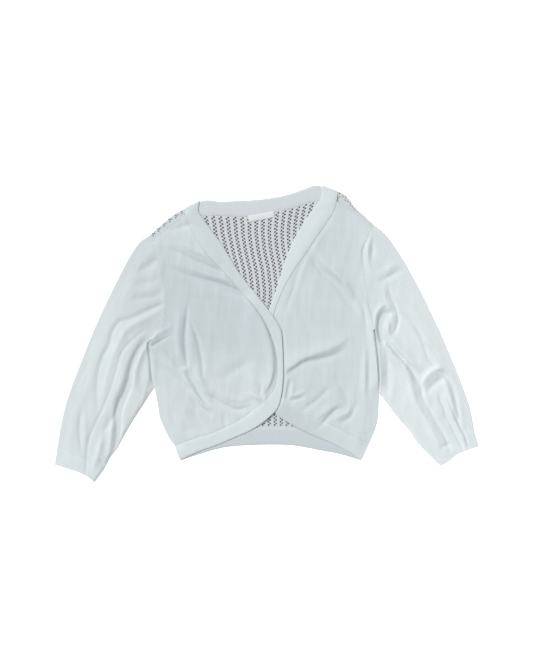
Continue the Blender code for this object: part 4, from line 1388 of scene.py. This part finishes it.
@dataclass
class OpenworkBack(Piece):
    """Back panel knitted in lengthwise openwork stripes and turned forward over both shoulders.

    Inside the neckline the stripes lean toward a line by a share of the distance from it for each millimetre
    below the neck. Each fade of that lean is a place and the distance over which it dies out. The seen rows
    and stripes are those whose eyelets show where the back is turned forward.
    """

    slot = Slot.OPENWORK
    right_stripes: int = 6
    neck_stripes: int = 21
    left_stripes: int = 7
    arm_rows: int = 56
    side_rows: int = 57
    strip_rows: int = 6
    hidden_rows: int = 10
    seen_stripes: int = 4
    seen_rows: int = 2
    eyelet_columns: tuple[int, int] = (2, 4)
    lean_rate: float = 0.00047
    lean_centre: float = 116.0
    neck_fade: tuple[float, float] = (212.0, 20.0)
    hem_fade: tuple[float, float] = (-110.0, 150.0)
    right_fade: tuple[float, float] = (-175.0, 110.0)
    left_fade: tuple[float, float] = (125.0, 75.0)
    column_pitch: float = 2.5
    row_pitch: float = 3.4
    seam_samples: int = 400
    fold_samples: int = 200

    def stripe_points(self, line: Points, stripes: int) -> Points:
        """Points along a line where the stripes' columns cross it."""
        length = travelled(line)
        shares = [(stripe + share) / stripes for stripe in range(stripes) for share in STRIPE_SHARES]
        at = np.array(shares + [1.0]) * length[-1]
        return np.stack([np.interp(at, length, line[:, axis]) for axis in (0, 1)], axis=1)

    def turned(self, side: Side, stripes: int) -> tuple[Points, Points]:
        """Skins of a shoulder strip: over the fold and down to the seam in front.

        Args:
            side: the side's plan.
            stripes: openwork stripes that cross the shoulder.

        Returns:
            Outer and inner skins.
        """
        fold = self.stripe_points(even(side.shoulder_fold, self.fold_samples), stripes)
        seam = toward(self.stripe_points(even(side.strip_seam(), self.fold_samples), stripes), fold, GAP)
        rows = [(toward(fold, seam, row.outer_in), row.outer_z) for row in SHOULDER_TURN]
        inner_rows = [(toward(fold, seam, row.inner_in), row.inner_z) for row in SHOULDER_TURN]
        start = rows[-1][0]
        flat_rows = [start + share * (seam - start) for share in np.linspace(0, 1, self.strip_rows + 1)[1:]]
        skins = []
        for turn, level in ((rows, ON_BACK + PANEL_WALL), (inner_rows, ON_BACK)):
            rows_down = turn + [(row, level) for row in flat_rows]
            skin = np.stack([raised(row, height) for row, height in rows_down])
            skin[:, 0, :2] = toward(skin[:, 0, :2], skin[:, 1, :2], SIDE_GAP)
            skin[:, -1, :2] = toward(skin[:, -1, :2], skin[:, -2, :2], GAP)
            skins.append(skin)
        return skins[0], skins[1]

    def lean(self, grid: Points) -> Points:
        """Moves the stripes as they lean and draw together inside the neckline."""
        x, y = grid[..., 0], grid[..., 1]
        drop = np.clip(self.neck_fade[0] - y, 0, None)
        fade = ease((y - self.hem_fade[0]) / self.hem_fade[1])
        fade = fade * ease((x - self.right_fade[0]) / self.right_fade[1])
        fade = fade * ease((self.left_fade[0] - x) / self.left_fade[1])
        moved = grid.copy()
        rate = self.lean_rate * (self.lean_centre - x)
        moved[..., 0] += rate * drop * fade * ease(drop / self.neck_fade[1])
        return moved

    def body(self, top: Points) -> Points:
        """Plan grid of the back below the shoulders."""
        hem = self.stripe_points(even(seam_of(HEM_BAND), self.seam_samples), (len(top) - 1) // STRIPE_COLUMNS)
        hem[:, 1] += GAP
        edges = []
        for side, end in ((RIGHT, 0), (LEFT, -1)):
            upper = even(side.armhole, self.arm_rows, 0, len(side.armhole) - 2)
            edge = np.concatenate([upper, even(side.side_seam, self.side_rows)])
            edge[0], edge[-1] = top[end], hem[end]
            edges.append(edge)
        grid = patch(top, hem, *edges, travelled(top) / travelled(top)[-1])
        inside = inset(self.lean(grid), left=SIDE_GAP, right=SIDE_GAP)
        inside[0] = grid[0]
        return inside

    def eyelets(self, skin: Points, first_row: int) -> Points:
        """Which cells are eyelets: two staggered columns in each stripe.

        Args:
            skin: grid of the cloth's points.
            first_row: row of the first eyelet.

        Returns:
            True where the cell is open.
        """
        rows, columns = skin.shape[0] - 1, skin.shape[1] - 1
        row = np.arange(rows)[:, None]
        column = np.arange(columns)[None, :]
        left, right = (
            (column % STRIPE_COLUMNS == place) & (row % 2 == shift)
            for shift, place in enumerate(self.eyelet_columns)
        )
        inside = (row >= first_row) & (row < rows - 1) & (column > 1) & (column < columns - 1)
        return (left | right) & inside

    def cloth(self, skin: Points) -> Points:
        """The cloth's own coordinates: stripes across and rows along."""
        across = np.arange(skin.shape[1]) * self.column_pitch
        along = np.arange(skin.shape[0]) * self.row_pitch
        return np.stack(np.broadcast_arrays(across[None, :], along[:, None]), axis=2)

    def fill(self, shell: Shell) -> None:
        """Adds the body of the back and its two turned shoulder strips."""
        right_outer, right_inner = self.turned(RIGHT, self.right_stripes)
        left_outer, left_inner = (skin[:, ::-1] for skin in self.turned(LEFT, self.left_stripes))
        neck = even(seam_of(NECK_BAND), self.seam_samples)
        neck = self.stripe_points(neck, self.neck_stripes) - [0, GAP]
        top = np.concatenate([right_outer[0, :, :2], neck[1:-1], left_outer[0, :, :2]])
        plan = self.body(top)
        relief = np.tile(STRIPE_RELIEF, len(top) // STRIPE_COLUMNS + 1)[:len(top)]
        height = BACK_WALL + np.broadcast_to(relief, plan.shape[:2]).copy()
        height[[0, -1]] = BACK_WALL
        height[:, [0, -1]] = BACK_WALL
        holes = self.eyelets(plan, 1)
        holes[:self.hidden_rows, :self.right_stripes * STRIPE_COLUMNS] = False
        holes[:self.hidden_rows, -self.left_stripes * STRIPE_COLUMNS:] = False
        shell.add(raised(plan, 0.0), raised(plan, height), self.cloth(plan), holes)
        turn_rows = len(SHOULDER_TURN)
        strips = (
            (right_outer, right_inner, self.right_stripes), (left_outer, left_inner, self.seen_stripes),
        )
        for outer, inner, seen in strips:
            holes = self.eyelets(outer, turn_rows - 1)
            holes[turn_rows + self.seen_rows:] = False
            holes[:, seen * STRIPE_COLUMNS:] = False
            shell.add(outer, inner, self.cloth(outer), holes)


@dataclass
class Label(Piece):
    """Bare woven label at the back neck, its lower edge let down onto the openwork."""

    slot = Slot.LABEL
    across: int = 30
    down: int = 8
    fall_start: float = 0.35
    wave: float = 0.12
    waves: float = 9.0
    edge_drop: float = 0.2
    edge_width: float = 0.8

    def fill(self, shell: Shell) -> None:
        """Adds the label between its four corners."""
        corners = np.array(LABEL_CORNERS)
        over = np.linspace(0, 1, self.across + 1)[:, None]
        top = corners[0] + over * (corners[1] - corners[0])
        bottom = corners[3] + over * (corners[2] - corners[3])
        down = np.linspace(0, 1, self.down + 1)
        grid = top[None] + down[:, None, None] * (bottom - top)[None]
        fallen = ease((down - self.fall_start) / (1 - self.fall_start))
        under = ON_BACK_BAND - (ON_BACK_BAND - ON_BACK) * fallen
        under = under[:, None] + self.wave * np.sin(over[:, 0] * self.waves)[None] * down[:, None]
        rounded = self.edge_drop * (1 - np.clip(margin(grid) / self.edge_width, 0, 1)) ** 2
        shell.add(raised(grid, under + LABEL_WALL - rounded), raised(grid, under), grid)


@dataclass
class Linking:
    """Chain of linking stitches along a seam."""

    finish: Material
    stitch: float = 2.6
    samples: int = 4
    sides: int = 6
    width: float = 0.75
    rise: float = 0.5
    pinch: float = 0.2
    crisp: float = 1.2

    def build(self, name: str, line: Points) -> None:
        """Makes the chain.

        Args:
            name: the piece's name.
            line: points of the seam at the cloth's surface, in millimetres.
        """
        run = travelled(line)
        count = max(1, round(run[-1] / self.stitch)) * self.samples
        at = np.linspace(0, run[-1], count + 1)
        centre = np.stack([np.interp(at, run, line[:, axis]) for axis in range(3)], axis=1)
        tangent = np.gradient(centre[:, :2], axis=0)
        tangent /= np.linalg.norm(tangent, axis=1, keepdims=True)
        beside = np.stack([-tangent[:, 1], tangent[:, 0], np.zeros(len(tangent))], axis=1)
        pulse = 1 - self.pinch + self.pinch * np.cos(2 * math.pi * at / self.stitch)
        mesh = bmesh.new()
        for vertex, row, column in grid_vertices(mesh, count + 1, self.sides + 1):
            turn = column % self.sides * 2 * math.pi / self.sides
            point = centre[row] + beside[row] * self.width * pulse[row] * math.cos(turn)
            point = point + np.array([0, 0, self.rise * pulse[row] * math.sin(turn)])
            vertex.co = Placing.metres(point)
        bmesh.ops.remove_doubles(mesh, verts=mesh.verts, dist=CHAIN_WELD)
        bmesh.ops.holes_fill(mesh, edges=mesh.edges, sides=self.sides)
        bmesh.ops.recalc_face_normals(mesh, faces=mesh.faces)
        hand_over(keep(name, mesh, self.finish, self.crisp))


@dataclass
class FashionMarks:
    """Row of raised stitches beside an armhole, where the cloth was narrowed.

    The row runs between two of the armhole's knots, on the front where the offset is positive and otherwise
    on the sleeve.
    """

    relief: Relief
    finish: Material
    first: float
    last: float
    count: int
    offset: float
    size: Triple = (1.5, 0.7, 0.45)
    slant: float = 0.5
    subdivisions: int = 2
    crisp: float = 3.0

    def dress(self) -> None:
        """Builds the row as one piece."""
        knots = self.relief.side.armhole
        line = smooth(knots, spread(knots, self.first, self.last, self.count))
        beside = aside(line, line + np.array([-np.sign(knots[0, 0]), 0]), self.offset)
        height = self.relief.under(beside) + PANEL_WALL
        tangent = np.gradient(line, axis=0)
        mesh = bmesh.new()
        for index, (place, rise) in enumerate(zip(beside, height)):
            made = bmesh.ops.create_icosphere(mesh, subdivisions=self.subdivisions, radius=1.0)
            lean = math.atan2(tangent[index, 1], tangent[index, 0]) + self.slant
            bmesh.ops.scale(mesh, verts=made["verts"], vec=[value * MM for value in self.size])
            bmesh.ops.rotate(mesh, verts=made["verts"], matrix=Matrix.Rotation(lean, 3, "Z"))
            centre = Placing.metres(np.array([*place, rise]))
            bmesh.ops.translate(mesh, verts=made["verts"], vec=centre)
        part = "sleeve" if self.offset < 0 else "front"
        hand_over(keep(f"marks_{self.relief.side.name}_{part}", mesh, self.finish, self.crisp))


@dataclass
class Seams:
    """Linking stitches along every seam that shows.

    Each rise is a chain's height above the underside of the cloth that it lies on. Each start is a share of
    the seam's first step.
    """

    finish: Knit
    samples: int = 400
    band_start: float = 0.12
    armhole_start: float = 0.05
    band_rise: float = BAND_WALL - 0.35
    armhole_rise: float = PANEL_WALL - 0.15
    underarm_rise: float = 0.6
    cuff_rise: float = CUFF_WALL - 0.4
    neck_rise: float = BAND_WALL - 0.5
    hem_rise: float = BAND_WALL - 0.6
    cuff_samples: int = 120
    cuff_shift: float = 0.35
    cuff_ends: int = 2
    table_samples: int = 300
    table_ends: int = 4

    def dress(self, right: Relief, left: Relief) -> None:
        """Builds the chains of the whole cardigan and the narrowing marks.

        Args:
            right, left: reliefs of both sides.
        """
        chain = Linking(self.finish.material())
        for relief in (right, left):
            side = relief.side
            lines = {
                "band": (seam_of(side.band), self.band_start, self.band_rise),
                "shoulder": (side.strip_seam(), 0.0, PANEL_WALL),
                "armhole": (side.armhole, self.armhole_start, self.armhole_rise),
                "underarm": (side.side_seam[:TOUCHING_KNOT + 1], 0.0, self.underarm_rise),
            }
            for name, (knots, first, rise) in lines.items():
                line = even(knots, self.samples, first)
                chain.build(f"seam_{name}_{side.name}", raised(line, relief.under(line) + rise))
            cuff = even(side.cuff_seam, self.cuff_samples)[self.cuff_ends:-self.cuff_ends]
            cuff = cuff - [0, self.cuff_shift]
            rise = ON_CUFF_BACK + relief.lift(cuff) + self.cuff_rise
            chain.build(f"seam_cuff_{side.name}", raised(cuff, rise))
        for relief, *row in (
            (right, 1.2, 7.2, 15, 2.2), (right, 1.4, 7.0, 14, -2.4),
            (left, 5.0, 10.4, 13, 2.2), (left, 6.4, 10.2, 9, -2.4),
        ):
            FashionMarks(relief, chain.finish, *row).dress()
        for name, strip, rise in (("neck", NECK_BAND, self.neck_rise), ("hem", HEM_BAND, self.hem_rise)):
            line = even(seam_of(strip), self.table_samples)[self.table_ends:-self.table_ends]
            chain.build(f"seam_{name}", raised(line, rise))


@dataclass
class Studio:
    """Plain floor, soft light and the camera straight above, in metres."""

    view_height: float = 1.1988
    camera_height: float = 4.0
    sensor: float = 36.0
    floor_drop: float = 0.001
    floor_size: float = 30.0
    floor_colour: Colour = (0.92, 0.92, 0.92)
    floor_roughness: float = 0.9
    floor_shine: float = 0.1
    floor_glow: float = 0.8
    shade_colour: Colour = (0.22, 0.205, 0.195)
    shade_depth: float = 0.5
    shade_under_bands: float = 7.0
    shade_rows: int = 30
    shade_columns: int = 100
    shade_ends: int = 4
    sky_strength: float = 0.45
    key_place: Triple = (-1.5, 1.35, 2.35)
    key_softness: float = 0.45
    key_energy: float = 2.2

    def floor(self) -> None:
        """Pale floor."""
        mesh = bmesh.new()
        bmesh.ops.create_grid(mesh, x_segments=1, y_segments=1, size=self.floor_size)
        bmesh.ops.translate(mesh, verts=mesh.verts, vec=(0, 0, -self.floor_drop))
        graph = Graph("floor_white")
        graph.surface(
            Base_Color=opaque(self.floor_colour), Roughness=self.floor_roughness,
            Specular_IOR_Level=self.floor_shine, Emission_Color=opaque(WHITE),
            Emission_Strength=self.floor_glow,
        )
        keep("floor", mesh, graph.material)

    def shade(self) -> None:
        """Dark sheet under the back, which shows only through the eyelets."""
        edges = [even(seam_of(strip), self.shade_columns) for strip in (NECK_BAND, HEM_BAND)]
        upper, lower = (edge[self.shade_ends:-self.shade_ends] for edge in edges)
        upper = upper + [0, self.shade_under_bands]
        lower = lower - [0, self.shade_under_bands]
        grid = np.stack([upper + share * (lower - upper) for share in np.linspace(0, 1, self.shade_rows)])
        mesh = bmesh.new()
        for vertex, row, column in grid_vertices(mesh, *grid.shape[:2]):
            vertex.co = Placing.metres(np.array([*grid[row, column], -self.shade_depth]))
        bmesh.ops.recalc_face_normals(mesh, faces=mesh.faces)
        graph = Graph("shade_sheet")
        graph.surface(Base_Color=opaque(self.shade_colour), Roughness=1.0, Specular_IOR_Level=0.0)
        keep("shade_sheet", mesh, graph.material)

    def lights(self) -> None:
        """Key light from the upper left and an even sky."""
        world = bpy.data.worlds.new("studio")
        world.use_nodes = True
        sky = world.node_tree.nodes["Background"]
        sky.inputs["Color"].default_value = opaque(WHITE)
        sky.inputs["Strength"].default_value = self.sky_strength
        bpy.context.scene.world = world
        data = bpy.data.lights.new("key", "SUN")
        data.angle = self.key_softness
        data.energy = self.key_energy
        key = bpy.data.objects.new("key", data)
        key.location = self.key_place
        key.rotation_euler = key.location.to_track_quat("Z", "Y").to_euler()
        bpy.context.scene.collection.objects.link(key)

    def camera(self) -> None:
        """Camera that sees the whole table at the photograph's scale."""
        data = bpy.data.cameras.new("overhead")
        data.sensor_width = self.sensor
        data.lens = self.sensor * self.camera_height / self.view_height
        camera = bpy.data.objects.new("overhead", data)
        camera.location = (*Placing.metres(np.zeros(3))[:2], self.camera_height)
        bpy.context.scene.collection.objects.link(camera)
        bpy.context.scene.camera = camera
        bpy.context.scene.view_settings.view_transform = "Standard"


def linear(red: int, green: int, blue: int) -> Colour:
    """Linear colour of three display values from 0 to 255."""
    shares = [value / 255 for value in (red, green, blue)]
    return tuple(((share + 0.055) / 1.055) ** 2.4 for share in shares)


# Finish of every knitted piece. The yarn is one white throughout; the different colours of the pieces and
# their slow ramps are painted shade and painted light for how the light falls on each piece.
FINISHES = {
    "back_openwork": Knit("openwork_white", linear(212, 219, 222), streak=0.1),
    "front_right_knit": Knit(
        "jersey_right_front", linear(203, 214, 218), linear(214, 223, 226), ramp=(50.0, 50.0, 150.0),
    ),
    "front_left_knit": Knit(
        "jersey_left_front", linear(210, 220, 223), linear(217, 228, 230), 0, (60.0, 70.0, 130.0),
    ),
    "sleeve_right_knit": Knit(
        "jersey_right_sleeve", linear(209, 218, 221), linear(218, 227, 229), ramp=(0.0, 10.0, 170.0),
    ),
    "sleeve_left_knit": Knit(
        "jersey_left_sleeve", linear(219, 229, 232), linear(229, 237, 239), ramp=(0.0, 10.0, 170.0),
    ),
    "band_right_rib": rib("rib_right", linear(212, 221, 222), linear(222, 232, 235), (0.0, 200.0, 400.0)),
    "band_left_rib": rib("rib_left", linear(204, 213, 215), linear(215, 224, 226), (440.0, 20.0, 120.0)),
    "neckband_rib": rib("rib_neck", linear(212, 219, 223)),
    "hem_rib": rib("rib_hem", linear(203, 213, 217)),
    "cuff_right_rib": rib("rib_right_cuff", linear(219, 229, 231)),
    "cuff_left_rib": rib("rib_left_cuff", linear(226, 235, 237)),
}


class Cut(NamedTuple):
    """Flat width and length in metres, area where it isn't a plain strip, and what the cloth rests on."""

    flat: tuple[float, float]
    area: float | None
    rests_on: list[str]


def cardigan(right: Relief, left: Relief) -> list[Piece]:
    """Every piece that stands for a solid, in the order of building.

    Args:
        right, left: reliefs of both sides.

    Returns:
        The pieces, not built yet.
    """
    pieces: list[Piece] = [OpenworkBack("back_openwork", "back_panel", FINISHES["back_openwork"])]
    for part, kind in ((FrontPanel, "front"), (Sleeve, "sleeve")):
        for relief in (right, left):
            node = f"{kind}_{relief.side.name}"
            pieces.append(part(f"{node}_knit", node, FINISHES[f"{node}_knit"], relief))
    for relief in (right, left):
        node = f"band_{relief.side.name}"
        pieces.append(Band(f"{node}_rib", node, FINISHES[f"{node}_rib"], relief.side.band, relief))
    pieces.append(Band("neckband_rib", "band_back_neck", FINISHES["neckband_rib"], NECK_BAND))
    pieces.append(Band("hem_rib", "band_back_hem", FINISHES["hem_rib"], HEM_BAND))
    for relief in (right, left):
        node = f"cuff_{relief.side.name}"
        pieces.append(Cuff(f"{node}_rib", node, FINISHES[f"{node}_rib"], relief))
    pieces.append(Label("label_woven", "label", Satin()))
    return pieces


def main() -> None:
    """Builds the cardigan and its studio."""
    logging.basicConfig(level=logging.INFO, format="%(message)s")
    studio = Studio()
    studio.camera()
    studio.lights()
    studio.floor()
    studio.shade()

    right = Relief(RIGHT)
    left = Relief(LEFT)
    dressed = {piece.name: piece.dress() for piece in cardigan(right, left)}
    Seams(Knit("linking", linear(219, 228, 230))).dress(right, left)


if __name__ == "__main__":
    main()
